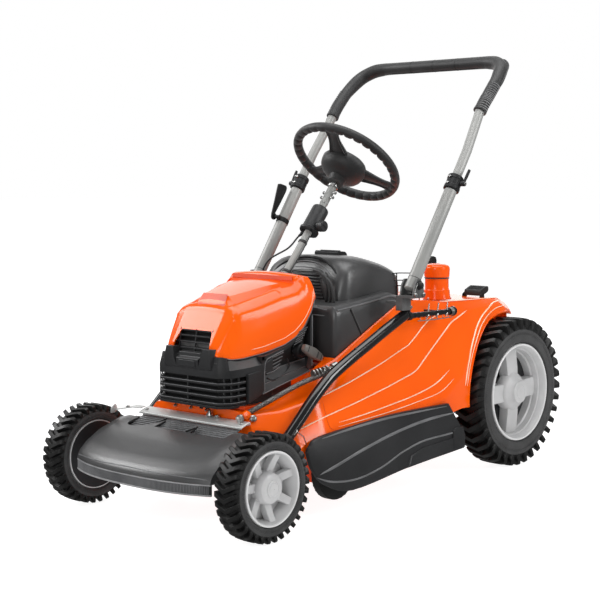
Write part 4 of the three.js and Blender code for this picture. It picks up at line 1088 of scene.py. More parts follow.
def hoodSkin():
    # rows close together where the panel, scoop and slot turn sharply
    ys = [58 + 2 * k for k in range(19)] + [95, 95.8, 97, 98.5, 100, 102, 103, 104.5, 106, 108, 111, 113.6,
                                            114, 117, 121, 125]
    ys += [128, 128.8, 131] + [135 + 4 * k for k in range(26)] + [238, 241, 242, 243.5, 246, 250, 254, 258,
                                                                  262, 263.5, 265, 266, 268]
    ys += [270, 273, 276, 279, 282, 286, 291, 296]
    rows = []
    for y in sorted(set(ys)):
        row = hoodRow(y)
        rows.append([(-x, y, z) for x, z in reversed(row[1:])] + [(x, y, z) for x, z in row])
    base = rows[0]
    foot = [(x * 0.99, 55.5, min(z, 331)) for x, y, z in base]
    curb = [(x, 56.2, min(z, 331) + (z - min(z, 331)) * 0.5) for x, y, z in base]
    rows = [foot, curb] + rows
    tail = rows[-1]
    rows.append([(x * 0.985, 298.5, z - 3) for x, y, z in tail])
    rows.append([(x * 0.97, 299, z - 9) for x, y, z in tail])
    shape = Shape().join(stacked(rows, ends=False, closed=False))
    window = [(-53, 318), (53, 318), (52, 352), (45, 374), (41, 377.5), (-41, 377.5), (-45, 374), (-52, 352)]
    carve = [slab(window, 30, 84, "y")]
    piece("hoodSkin", shape, "chassis", ["orangeGloss"], ["hood"], corner=34,
          shell=hoodLook["wall"], carve=carve)


def hoodVents():
    # face of the scoop and of the recess under the rear lip, painted darker orange as shade
    look = dict(scoop=[(-40, 114.0, 425.0), (40, 114.0, 425.0), (35, 127.4, 447.6), (-35, 127.4, 447.6)],
                recess=(262.2, 471.5, 88, 8.5))
    shape = Shape().join(stacked([look["scoop"], [(x, y - 0.7, z + 0.6) for x, y, z in look["scoop"]]]))
    y, z, half, tall = look["recess"]
    rings = []
    for out in (0.8, -0.9):
        rings.append([(-half, y + out, z), (half, y + out, z),
                      (half - 2, y + out + 2.4, z + tall), (2 - half, y + out + 2.4, z + tall)])
    shape.join(stacked(rings))
    piece("hoodVents", shape, "chassis", ["orangeShadeAndDarkTone"], bevel=0.3)


def hoodSideAt(y, z):
    # how far out the hood stands at a height
    points = hoodProfile(y)
    for a, b in zip(points, points[1:]):
        if b[1] <= z <= a[1]:
            t = (a[1] - z) / max(a[1] - b[1], 0.01)
            return a[0] + (b[0] - a[0]) * t
    return points[-1][0]


def hoodTrim():
    # painted highlight line, dark rim and rolled edge along the sides
    look = dict(highlightLine=1.0, rim=1.9, roll=2.2)
    for side, sign in hands.items():
        line = []
        for y in list(range(128, 262, 10)) + [270, 278, 284, 289, 293]:
            z = along(hoodEdge, y) + 13
            line.append((sign * (hoodSideAt(y, z) + 0.2), y, z))
        bead(f"hoodHighlightLine_{side}", line, look["highlightLine"], "orangePaintedHighlight")
        rim = [(sign * (hoodSideAt(y, along(hoodEdge, y) + 2) - 0.2), y, along(hoodEdge, y) - 0.4)
               for y in [60, 70, 82, 96, 110, 130, 150, 170, 190, 210, 225, 240, 252, 264, 275, 284, 291,
                         297]]
        bead(f"hoodRim_{side}", rim, look["rim"], "greyTrimAndPaintedHighlight")
        roll = [(sign * (hoodSideAt(y, along(hoodEdge, y) + 5) - 0.6), y, along(hoodEdge, y) + 4)
                for y in [70, 84, 98, 112, 130, 148, 166, 180]]
        bead(f"hoodRoll_{side}", roll, look["roll"], "orangeGloss")


def grilleWindow():
    # bars behind the opening in the front face, and a near-black sheet behind them painted as shade
    look = dict(bars=(329, 341, 353, 365, 376), lean=0.24, posts=(-46, 0, 46))
    shape = Shape()
    for z in look["bars"]:
        y = 62 + (z - look["bars"][0]) * look["lean"]
        shape.join(slab([(y, z - 1.8), (y + 9, z + 0.8), (y + 9, z + 3), (y, z + 1)], -54, 54), 0)
    for x in look["posts"]:
        shape.join(slab([(63, 322), (65.5, 322), (77, 379), (73, 379)], x - 1.3, x + 1.3), 0)
    # near-black sheet behind the bars: painted shade inside the opening
    shape.join(slab([(74, 322), (76, 322), (88, 382), (86, 382)], -62, 62), 1)
    piece("grilleWindow", shape, "chassis", ["softGrey", "deepBlackAndShade"], bevel=0.5)


hoodSkin()
hoodVents()
hoodTrim()
grilleWindow()
print("hood built")

# half of the shroud's outline seen from above, rear to front
shroudPlan = [(121, 286), (121, 240), (121, 190), (121, 150), (119.5, 126), (116, 104), (108, 80), (98, 62),
              (86, 50),
              (78, 47.4), (40, 47), (0, 47)]


def shroudRing(stretch):
    # points round the plan, rear left to rear right, with their outward direction
    half = flowing([(x, y, 0) for x, y in shroudPlan], 4)
    line = [(x, y) for x, y, z in half] + [(-x, y) for x, y, z in reversed(half[:-1])]
    line = [p for p in line if p[1] <= stretch]
    made = []
    for i, (x, y) in enumerate(line):
        a, b = line[max(i - 1, 0)], line[min(i + 1, len(line) - 1)]
        dx, dy = b[0] - a[0], b[1] - a[1]
        size = hypot(dx, dy)
        made.append((x, y, -dy / size, dx / size))
    return made


def belt(shape, profile, reach, paint=0, lift=None):
    # a strip round the front: profile of (inward, z), up to y = reach
    rings = []
    for x, y, nx, ny in shroudRing(reach):
        up = lift(y) if lift else 0
        rings.append([(x + nx * d, y + ny * d, z + up) for d, z in profile])
    shape.join(stacked(rings), paint)


def shroudBody():
    # grille bars round the front, the band above them and the two prongs that hold the hood
    look = dict(bars=(276.5, 263.5, 250.5, 237), barThick=4.4, barDeep=8, bandLow=288, bandHigh=304,
                grilleEnd=100)
    test = shroudRing(60)[0]
    inward = -1 if (test[2] > 0) == (test[0] > 0) else 1
    shape = Shape()

    def rail(z, reach, thick, deep, paint=0, tilt=0.0):
        prof = [(0, z - thick / 2), (0.6 * inward, z - thick / 2 - 0.4),
                (deep * inward, z - thick / 2 + tilt),
                (deep * inward, z + thick / 2 + tilt), (0, z + thick / 2)]
        belt(shape, prof, reach, paint, lift=lambda y: 0.11 * max(0, y - 70))

    for z in look["bars"]:
        rail(z, look["grilleEnd"] + 3, look["barThick"], look["barDeep"], 0, 2.5)
        # pale strip along the top of each bar: a painted highlight
        edge = [(-0.25 * inward, z + 1.0), (0.8 * inward, z + 1.0), (0.8 * inward, z + 2.3),
                (-0.25 * inward, z + 2.3)]
        belt(shape, edge, look["grilleEnd"] + 1, 1, lift=lambda y: 0.11 * max(0, y - 70))
    rail(230.5, look["grilleEnd"] + 3, 5, 9)
    # near-black wall set in behind the bars: painted shade inside the shroud
    belt(shape, [(13 * inward, 228), (15 * inward, 228), (15 * inward, 300), (13 * inward, 300)], 180, 2)
    shape.join(brick((-1.6, 1.6), (47.2, 56), (230, 290)))
    for y, x in ((58, 94.5), (70, 102.5), (84, 109)):
        for sign in (1, -1):
            shape.join(bar((sign * (x - 1.5), y + 1, 231), (sign * (x - 1.5), y + 1, 290), 1.5, 8))
            shape.join(bar((sign * (x - 8), y + 6, 231), (sign * (x - 8), y + 6, 290), 1.2, 8), 1)
    piece("shroudGrille", shape, "chassis", ["softGrey", "greyTrimAndPaintedHighlight", "deepBlackAndShade"],
          ["engine_shroud"], bevel=0.5)

    band = Shape()
    rings = []
    for x, y, nx, ny in shroudRing(286):
        rise = 0.11 * max(0, min(y, 150) - 70)
        top = along(hoodEdge, max(y, 56)) - 1.5 if y > 56 else 329.5
        roof = hoodProfile(max(y, 58))[-1][0] - 1 if y > 58 else 73
        inset = max(3.0, abs(x) - roof) if y > 58 else 14
        deep = inset if y > 62 else 6 + (y - 47) * 0.2
        low = look["bandLow"] + rise
        high = min(look["bandHigh"] + rise + max(0, y - 150) * 0.45, top - 4)
        rings.append([
            (x, y, low), (x, y, high),
            (x + nx * deep * inward, y + ny * deep * inward, top),
            (x + nx * (deep + 4) * inward, y + ny * (deep + 4) * inward, top),
            (x + nx * 5 * inward, y + ny * 5 * inward, high - 2),
            (x + nx * 5 * inward, y + ny * 5 * inward, low)])
    keep = [r for r in rings if r[0][1] <= 172]
    band.join(stacked(keep))
    piece("shroudBand", band, "chassis", ["softGrey"], bevel=1.2, corner=28)

    prongs = Shape()
    for sign in (1, -1):
        prongs.join(slab([(100, 236), (138, 251), (138, 300), (100, 295)],
                         *sorted((sign * 113, sign * 120.4))))
    front = [(-82, 50), (82, 50), (88, 70), (-88, 70)]
    prongs.join(stacked([[(x, y, z) for x, y in front] for z in (305, 318)]))
    for sign in (1, -1):
        foot = [(30, 46), (68, 46), (74, 62), (74, 70), (30, 70)]
        top = [(43, 47), (63, 47), (69, 58), (70, 68), (43, 68)]
        mid = [(38, 44), (66, 44), (73, 58), (73, 70), (38, 70)]
        rings = [(foot, 303), (mid, 322), (top, 344)]
        prongs.join(stacked([[(sign * x, y, z) for x, y in ring] for ring, z in rings]))
    block = [(46, 303), (45, 322), (52, 326), (53, 334), (66, 336), (66, 303)]
    prongs.join(slab(block, -32, 32))
    prongs.join(slab([(44.4, 306), (44.4, 319), (46.5, 319), (46.5, 306)], -24, 24))
    piece("shroudProngs", prongs, "chassis", ["softGrey"], bevel=1.8, steps=3,
          corner=25)


def shroudCheek(side, sign):
    # rear half of each side: frame, vents, sloping panels, pale ridges painted as highlights, and the window
    # painted dark as shade
    look = dict(out=120.5, deep=106, vents=7, rearVents=6)
    shape = Shape()
    o, d = sign * look["out"], sign * look["deep"]

    def low(y):
        return 252 + (y - 138) * 0.239

    edge = [(y, along(hoodEdge, y) - 2) for y in (138, 160, 185, 210, 230, 245, 260, 272, 280)]
    # near-black wall set in behind the frame: the window painted as shade
    shape.join(slab([(138, 250), (286, 286), (288, 405), *reversed([(y, z - 1) for y, z in edge])],
                    *sorted((d, d - sign * 3))), 1)

    def paintedHighlightRidge(points, radius, x=o, paint=0, squash=0.7):
        path = flowing([(x, y, z) for y, z in points], 5)
        shape.join(tube(path, radius, 8, flat=squash, up=(1, 0, 0)), paint)

    shape.join(slab([(137, 251), (146, 252.5), (146, 328), (137, 327)], *sorted((d, o))))
    rail = [(p[0], p[1]) for p in edge]
    inner = [(y - 1, z - 8) for y, z in edge]
    shape.join(slab(rail + list(reversed(inner)), *sorted((d, o))))
    shape.join(slab([(276, 285), (288, 292), (288, 404), (283, 396), (281, 330), (270, 296)],
                    *sorted((d, o))))
    paintedHighlightRidge([(145, 254), (145, 296), (150, 318), (170, 326), (200, 334)], 1.2, paint=2)
    paintedHighlightRidge([(287, 294), (288, 350), (288, 400)], 1.6, paint=2)
    # two sloping panels low on the side
    for z0, z1, x0, x1 in ((0, 17, 121.5, 117), (19, 40, 118.5, 112)):
        rings = []
        for y in (140, 180, 230, 278):
            base = low(y)
            shrink = 1 - 0.35 * (y - 140) / 138
            rings.append([(sign * x0, y, base + z0 * shrink), (sign * x1, y, base + z1 * shrink),
                          (sign * (x1 - 6), y, base + z1 * shrink), (sign * (x0 - 9), y, base + z0 * shrink)])
        shape.join(stacked(rings))
        paintedHighlightRidge([(y, low(y) + z1 * (1 - 0.35 * (y - 140) / 138)) for y in (146, 190, 235, 274)], 0.9,
              x=sign * x1, paint=2)
    paintedHighlightRidge([(y, low(y) - 0.5) for y in (139, 180, 230, 280)], 1.3, x=sign * 121.6, paint=2)
    # curved vent fins climbing towards the hood; on these and the rear fins a pale line along the top is a
    # painted highlight
    for k in range(look["vents"]):
        start = 154 + k * 1.2
        z = 290 + k * 7.4
        fin = flowing([(sign * 116, start, z), (sign * 118, start + 18, z + 3.5),
                       (sign * 119.5, start + 34 + k * 2, z + 10)], 5)
        kept = [p for p in fin if p[2] < along(hoodEdge, p[1]) - 7]
        if len(kept) > 2:
            shape.join(tube(kept, 1.7, 8, flat=0.8), 0)
            shape.join(tube([(p[0] + sign * 1.1, p[1], p[2] + 0.9) for p in kept], 0.7, 6), 2)
    for k in range(look["rearVents"]):
        z = 344 + k * 5.2
        y = 232 + k * 3.4
        fin = [(sign * 119.6, y, z - 2), (sign * 120.2, y + 24, z + 6)]
        if fin[1][2] < along(hoodEdge, fin[1][1]) + 20:
            shape.join(tube(fin, 1.5, 8), 0)
            shape.join(tube([(p[0] + sign * 1.0, p[1], p[2] + 0.8) for p in fin], 0.6, 6), 2)
    bowl = flowing([(sign * 117, y, z) for y, z in [(156, 282), (176, 276), (206, 286), (222, 300),
                                                    (214, 316)]], 5)
    shape.join(tube(bowl, 2.2, 8, flat=0.7), 0)
    piece(f"shroudCheek_{side}", shape, "chassis", ["softGrey", "deepBlackAndShade", "greyTrimAndPaintedHighlight"],
          bevel=0.7, corner=30)


shroudBody()
for side, sign in hands.items():
    shroudCheek(side, sign)


def shroudBack():
    # closing wall with its vents, and the ribbed socket of the starter
    shape = Shape().join(slab([(-118, 288), (118, 288), (118, 404), (-118, 404)], 284, 288.5, "y"))
    for k in range(5):
        shape.join(brick((-80, 80), (288.5, 290.5), (304 + 16 * k, 310 + 16 * k)))
    piece("shroudBack", shape, "chassis", ["satinBlack"], bevel=0.8)
    socket = Shape()
    socket.join(spun([(100, 6), (100, 17), (112, 17), (116, 15), (121, 14.5), (122.4, 13), (122.4, 6)], 48),
                0)
    for k in range(12):
        t = pi * k / 6
        socket.join(bar((103, 15 * cos(t), 15 * sin(t)), (112, 17.5 * cos(t), 17.5 * sin(t)), 1.4, 8), 1)
    socket.points = [(p[0], 256 + p[1], 329 + p[2]) for p in socket.points]
    piece("starterSocket", socket, "chassis", ["satinBlack", "softGrey"], bevel=0.6)


def starterPull():
    # T-grip on its cord, a long flat block with a slot across it
    look = dict(y=256, z=329, root=123, out=145, half=31, droop=27, shift=(5, -3))
    tilt = radians(look["droop"])
    neck = [(0, 5), (0, 9), (5, 10.5), (10, 8.5), (16, 7.5), (16, 5)]
    shape = Shape().join(turnedAlong((look["root"], look["y"], look["z"]),
                                     (look["root"] + 16, look["y"] + 3, look["z"] - 2), neck, 32), 1)
    rings = []
    for k in range(21):
        t = -1 + k / 10
        end = 1 - 0.42 * abs(t) ** 7
        wide, high = 7.6 * end, (10.2 + 1.2 * cos(t * 4.4)) * end
        ring = []
        for a in around(28):
            across = wide * copysign(abs(cos(a)) ** 0.6, cos(a))
            up = high * copysign(abs(sin(a)) ** 0.6, sin(a))
            far = look["half"] * t
            ring.append((look["out"] + across, look["y"] + look["shift"][0] + far * cos(tilt) + up
                         * sin(tilt),
                         look["z"] + look["shift"][1] - far * sin(tilt) + up * cos(tilt)))
        rings.append(ring)
    shape.join(stacked(rings))
    for far, wide, skin in ((9.5, 2.2, 2), (-21, 0.7, 1), (22, 0.7, 1)):
        spots = [(look["y"] + look["shift"][0] + (far + a) * cos(tilt) + b * sin(tilt),
                  look["z"] + look["shift"][1] - (far + a) * sin(tilt) + b * cos(tilt))
                 for a, b in ((-wide, -6.5), (wide, -6.5), (wide, 6.5), (-wide, 6.5))]
        shape.join(slab(spots, look["out"] + 6.6, look["out"] + 8.1), skin)
    shape.join(turnedAlong((72, look["y"], look["z"]), (look["root"] + 2, look["y"], look["z"]),
                           [(0, 1.6), (53, 1.6)], 10), 2)
    piece("starterPull", shape, "starter", ["gripBrown", "satinBlack", "gripRubber"],
          ["starter_grip"], bevel=0.8, corner=40)


shroudBack()
starterPull()
print("shroud built")


def underHood():
    # small orange fittings, bolts, the primer knob and the bracket by the left wheel
    shape = Shape()
    for x0, x1, paint in ((-74, -58, 0), (-48, -34, 0), (-26, -8, 0), (2, 12, 1), (20, 30, 1)):
        shape.join(stacked([[(x0, y, z), (x1, y, z), (x1, y + 6, z + 2), (x0, y + 6, z + 2)]
                            for y, z in ((79.5, 212), (76, 224))]), paint)
    shape.join(slab([(79, 209), (86, 209), (86, 222), (79, 222)], -86, 86), 1)
    shape.join(turnedAlong((40, 70, 207), (40, 70, 222), [(0, 8), (2, 8), (13, 1.6), (15, 1)], 28), 2)
    shape.join(turnedAlong((60, 71, 206), (60, 71, 212), [(0, 6), (4, 6), (6, 4)], 6), 2)
    for x in (-66, -20, 26):
        shape.join(turnedAlong((x, 77, 218), (x, 70, 216), [(0, 3.4), (3, 3.4), (3.4, 2.2), (7, 2)], 16), 2)
    piece("frontFittings", shape, "chassis", ["orangeGloss", "deepBlackAndShade", "brightSteel"],
          bevel=1.0)

    knob = Shape()
    knob.join(turnedAlong((128, 88, 214), (140, 70, 222), [(0, 7), (3, 9), (12, 9.5), (18, 8), (21.5, 4)],
                          28))
    knob.join(turnedAlong((136, 92, 206), (150, 84, 214), [(0, 5.5), (9, 5.5), (9.2, 7.5), (14, 7.5),
                                                           (16, 5)], 8), 1)
    knob.join(bar((120, 96, 212), (137, 84, 216), 4.5, 16), 2)
    piece("primerKnob", knob, "chassis", ["orangeGloss", "brightSteel", "orangeShadeAndDarkTone"],
          bevel=0.7)

    bracket = Shape()
    bracket.join(stacked([[(x, y, z), (x, y + 14, z + 3), (x, y + 14, z + 5), (x, y, z + 2)] for x, y, z in
                          ((-206, 24, 196), (-188, 34, 200), (-168, 46, 204), (-150, 54, 203))]))
    bracket.join(turnedAlong((-206, 30, 199), (-216, 26, 203),
                             [(-4, 5), (0, 9), (2, 11), (3.4, 11), (4, 8), (8, 3)], 24))
    bracket.join(turnedAlong((-180, 44, 205), (-180, 43, 209), [(0, 4.5), (2.4, 4.5), (3, 3)], 6), 1)
    piece("cornerBracket", bracket, "chassis", ["stripAlloy", "brightSteel"], bevel=0.6)


def cordLine(name, path, radius, skin, node):
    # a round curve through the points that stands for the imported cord
    line = bpy.data.curves.new(name, "CURVE")
    line.dimensions = "3D"
    line.bevel_depth = radius / 1000
    line.bevel_resolution = 4
    line.use_fill_caps = True
    spline = line.splines.new("POLY")
    spline.points.add(len(path) - 1)
    for point, spot in zip(spline.points, path):
        point.co = (*place(*spot), 1)
    line.materials.append(skins[skin])
    obj = bpy.data.objects.new(name, line)
    bpy.context.scene.collection.objects.link(obj)
    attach(obj, "chassis")
    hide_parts(node)
    return obj


def fuelHose():
    # braided line from the front of the engine to the side of the deck
    look = dict(radius=5.4, strands=9, turns=14, wire=0.72,
                key=[(128, 62, 210), (134, 82, 221), (143, 112, 234), (153, 150, 250), (164, 200, 269),
                     (173, 250, 282),
                     (178, 285, 292)])
    path = flowing(look["key"], 14)
    core = look["radius"] - 0.7
    hose = cordLine("braidedHose", path, core, "braidSteel", "braided_hose")
    braid = Shape()
    spots = [Vector(p) for p in path]
    fine = []
    for a, b in zip(spots, spots[1:]):
        fine += [a, a.lerp(b, 0.5)]
    fine.append(spots[-1])
    side = Vector((1, 0, 0))
    frames = []
    for i, spot in enumerate(fine):
        way = (fine[min(i + 1, len(fine) - 1)] - fine[max(i - 1, 0)]).normalized()
        side = (side - way * side.dot(way)).normalized()
        frames.append((spot, side.copy(), way.cross(side)))
    for hand in (-1, 1):
        for n in range(look["strands"]):
            strand = []
            for i, (spot, a, b) in enumerate(frames):
                t = 2 * pi * (n / look["strands"] + hand * look["turns"] * i / len(frames))
                lift = look["radius"] - 0.75 + 0.3 * hand * sin(t * 2)
                strand.append(tuple(spot + (a * cos(t) + b * sin(t)) * lift))
            braid.join(tube(strand, look["wire"], 5))
    for end, way in ((0, 1), (-1, -1)):
        a, b = spots[end], spots[end + 2 * way]
        d = (b - a).normalized()
        braid.join(turnedAlong(a, b, [(-1, 7), (9, 7), (9.5, 6.2), (10, 5)], 20), 1)
        braid.join(turnedAlong(a + d * 2, b, [(0, 8.2), (4, 8.2)], 6), 1)
    weave = piece("hoseBraid", braid, "chassis", ["braidWire", "pressedZinc"])
    clips = Shape()
    clips.join(bar((177, 285, 296), (179, 298, 300), 8, 20), 0)
    for k in range(6):
        t = k / 5
        clips.join(turnedAlong((168 + 6 * t, 236 + 40 * t, 287 + 7 * t), (172, 262, 290),
                               [(0, 7.6), (2, 8.4), (4, 7.6)], 20), 0)
    piece("hoseFitting", clips, "chassis", ["pressedZinc"], bevel=0.4)


underHood()
fuelHose()
print("engine fittings built")


def rearBox():
    # lower half of the box with its rolled edges and seams
    look = dict(half=149.6, front=326.4, back=591.6, floor=303.4, endRound=9, edgeRound=17, edgeDrop=24,
                slot=((376, 408), (412, 352)))
    top = [(334, 416.5), (420, 425.5), (512, 436.5), (560, 423.5), (592, 404.5)]
    shape = Shape()
    ys = [326.4, 327.5, 330, 334, 350, 370, 395, 420, 450, 480, 512, 530, 545, 560, 575, 584, 589, 591.6]
    rings = []
    for y in ys:
        end = min(1, min(y - look["front"], look["back"] - y) / look["endRound"])
        pull = 8 * (1 - sqrt(max(0, 1 - (1 - end) ** 2)))
        z = along([(326, 408), *top], max(y, 326.5)) - pull * 0.6
        half, across, drop = look["half"] - pull, look["edgeRound"], look["edgeDrop"]
        ring = [(-half + 3, y, look["floor"]), (half - 3, y, look["floor"]),
                (half - 0.6, y, look["floor"] + 3)]
        arc = []
        for k in range(9):
            t = pi / 2 * k / 8
            arc.append((half - across + across * cos(t), y, z - drop + drop * sin(t)))
        ring += arc
        ring += [(-x, yy, zz) for x, yy, zz in reversed(arc)]
        ring.append((-half + 0.6, y, look["floor"] + 3))
        rings.append(ring)
    shape.join(stacked(rings))
    piece("rearBoxLower", shape, "chassis", ["boxGrey"], ["rear_box"], bevel=1.5, corner=40)
    seam = Shape()
    for side in (1, -1):
        line = [(side * (look["half"] - 3), y, along(top, y) - 9)
                for y in (336, 370, 420, 470, 512, 545, 575, 586)]
        seam.join(tube(flowing(line, 4), 2.0, 8), 0)
        # dark slot: painted shade, with a pale line beside it as a painted highlight
        slot = [(side * (look["half"] + 0.1), y, z) for y, z in look["slot"]]
        seam.join(tube(slot, 2.4, 8, flat=0.5, up=(1, 0, 0)), 1)
        seam.join(tube([(side * (look["half"] + 0.2), y + 3, z) for y, z in look["slot"]], 0.8, 6), 0)
        foot = [(side * (look["half"] + 0.4), y, 312) for y in (332, 400, 480, 586)]
        seam.join(tube(foot, 1.4, 8), 0)
    seam.join(tube(flowing([(x, 329.5, 414.5 - 0.00045 * x * x) for x in range(-134, 135, 20)], 3), 2.2, 8),
              0)
    seam.join(tube([(x, 326.4, 396) for x in (-120, 0, 120)], 1.3, 8), 0)
    piece("rearBoxSeams", seam, "chassis", ["greyTrimAndPaintedHighlight", "deepBlackAndShade"])


def rearLid():
    # domed cover with an arched front edge, ribbed vent panel and a hump
    look = dict(front=385.9, back=591.6, foot=408, half=120, taper=14, endRound=26, hump=(1.5, 478, 16),
                ribs=9)
    shape = Shape()
    outline = [(386, 410), (386, 446), (392, 472), (404, 498), (416, 508), (430, 513), (455, 514.5),
               (480, 513.5), (510, 508),
               (540, 500), (565, 491), (584, 482), (590, 470), (591.5, 450), (591.5, 408)]
    cross = [(0, 1.0), (0.35, 0.999), (0.52, 0.992), (0.66, 0.975), (0.78, 0.94), (0.88, 0.87),
             (0.95, 0.76), (0.985, 0.6),
             (1.0, 0.4), (1.0, 0.0)]
    ys = [386, 388, 392, 398, 405, 413, 422, 432, 445, 458, 470, 482, 500, 520, 540, 556, 570, 580, 586,
          590, 591.5]
    path = [(y, z) for y, z in outline if z > 440]
    rings = []
    for y in ys:
        crown = along([(look["front"], 446), *path[1:-1], (look["back"], 455)], y)
        end = min(1, min(y - look["front"], look["back"] - y) / look["endRound"])
        wide = look["half"] - look["taper"] * (1 - end) ** 2
        hump = look["hump"][0] * exp(-((y - look["hump"][1]) / look["hump"][2]) ** 2)
        foot = look["foot"]
        half = [(wide * a, foot + (crown - foot + hump * (1 - a)) * b) for a, b in cross]
        ring = [(x, y, z) for x, z in half] + [(-x, y, z) for x, z in reversed(half[1:])]
        rings.append(ring)
    shape.join(stacked(rings))
    piece("rearLidDome", shape, "chassis", ["boxGrey"], ["rear_box_cover"], bevel=1.2,
          corner=34)

    trim = Shape()

    def face(x, rise, out=1.6):
        # a spot on the front face of the lid, rise from 0 at the foot to 1 at the brow
        y = 386 + 20 * max(0, rise - 0.45) ** 1.4 - out
        return (x, y, 414 + 80 * rise)

    for k in range(look["ribs"]):
        rise = 0.16 + 0.085 * k
        wide = 66 - 2.4 * k
        trim.join(tube([face(x, rise, 0.6) for x in (-wide, -wide / 2, 0, wide / 2, wide)], 1.7, 8), 0)
    panel = [face(x, r, 1.4) for x, r in [(-74, 0.06), (-72, 0.5), (-62, 0.86), (-30, 0.94), (0, 0.96),
                                          (30, 0.94), (62, 0.86),
                                          (72, 0.5), (74, 0.06), (0, 0.04)]]
    trim.join(tube(flowing(panel, 4, loop=True), 1.5, 8, loop=True), 1)
    for bend in (0, 1):
        arch = []
        for k in range(25):
            t = pi * k / 24
            x = -(103 - 13 * bend) * cos(t)
            z = 420 + (92 - 9 * bend) * sin(t) ** 0.62
            y = 397 - 5 * bend + 15 * sin(t) ** 2
            arch.append((x, y, z))
        trim.join(tube(arch, 3.4 - 1.6 * bend, 10), bend)
    tab = [(468, 508), (468, 519.5), (472, 523), (494, 521), (500, 516), (500, 506)]
    trim.join(slab(tab, -34, 34), 2)
    trim.join(slab([(474, 519), (474, 524.6), (492, 523.4), (492, 518)], -22, 22), 2)
    piece("rearLidTrim", trim, "chassis", ["satinBlack", "greyTrimAndPaintedHighlight", "softGrey"],
          bevel=0.8)
    hoses = Shape()
    for n, (x, z) in enumerate(((74, 452), (86, 446), (98, 438))):
        loop = [(x - 26, 374, z + 34), (x - 4, 371, z + 30), (x + 12, 369, z + 8), (x + 16, 368, z - 20),
                (x + 10, 372, z - 42)]
        hoses.join(tube(flowing([(a - n * 2, b, c) for a, b, c in loop], 6), 3.6, 10), 0)
    piece("loomBundle", hoses, "chassis", ["gripRubber"])


rearBox()
rearLid()
print("rear box built")

# centre of the steering wheel, the column's tilt, and the rim
steer = dict(y=536, z=718, tilt=radians(50.3), rim=120, tube=11, notches=34)


def onColumn(far, x=0.0, across=0.0):
    c, s = cos(steer["tilt"]), sin(steer["tilt"])
    return (x, steer["y"] + far * c - across * s, steer["z"] + far * s + across * c)


def columnSpot(p):
    # from a shape made upright about the origin to the column
    return onColumn(p[2], p[0], p[1])


def steeringWheel():
    # notched rim, three dished spokes and a domed hub
    shape = Shape()
    rings = []
    count = 204
    for t in around(count):
        notch = 0.5 - 0.5 * cos(t * steer["notches"])
        cutIn = 3.6 * notch ** 5
        ring = []
        for a in around(16):
            inner = max(0, -cos(a - 0.9)) ** 1.2
            r = steer["tube"] - 0.15 - cutIn * inner
            wide = 0.92 if cos(a) > 0 else 1
            reach = steer["rim"] - 0.3 + r * wide * cos(a)
            ring.append((reach * cos(t), reach * sin(t), r * sin(a)))
        rings.append(ring)
    shape.join(stacked(rings, loop=True))
    hub = [(-59.5, 16.5), (-45, 18), (-43, 26), (-40, 36), (-34, 44), (-26, 49.5), (-17, 52), (-8, 52.6),
           (-3, 50), (1, 45), (4, 35),
           (6.4, 20), (7.4, 8), (7.6, 1)]
    points, faces = spun(hub, 56, loop=False)
    shape.join(([(p[1] * (1 + 0.04 * cos(3 * atan2(p[2], p[1]))), p[2], p[0]) for p in points], faces))
    for degrees in (74, 194, 314):
        a = radians(degrees)
        c, s = cos(a), sin(a)
        rings = []
        for k in range(9):
            t = k / 8
            reach = 30 + (steer["rim"] - 32) * t
            wide = 25 - 11 * ease(0, 0.7, t) + 4 * ease(0.75, 1, t)
            thick = 12 - 4.6 * ease(0, 0.8, t)
            mid = -12 + 9.5 * t
            ring = []
            for b in around(14):
                across, up = wide * cos(b), thick * sin(b)
                if up < 0 and abs(cos(b)) < 0.7 and 0.12 < t < 0.9:
                    up += thick * 0.75
                ring.append((reach * c - across * s, reach * s + across * c, mid + up))
            rings.append(ring)
        shape.join(stacked(rings))
    collar = [(-59.6, 13), (-59.6, 17.8), (-52, 18), (-50, 19.6), (-44, 20), (-42, 17), (-42, 13)]
    shape.join(upright(collar, 40))
    shape.points = [columnSpot(p) for p in shape.points]
    piece("helmWheel", shape, "steering", ["gripRubber"], ["steering_wheel"], corner=38)


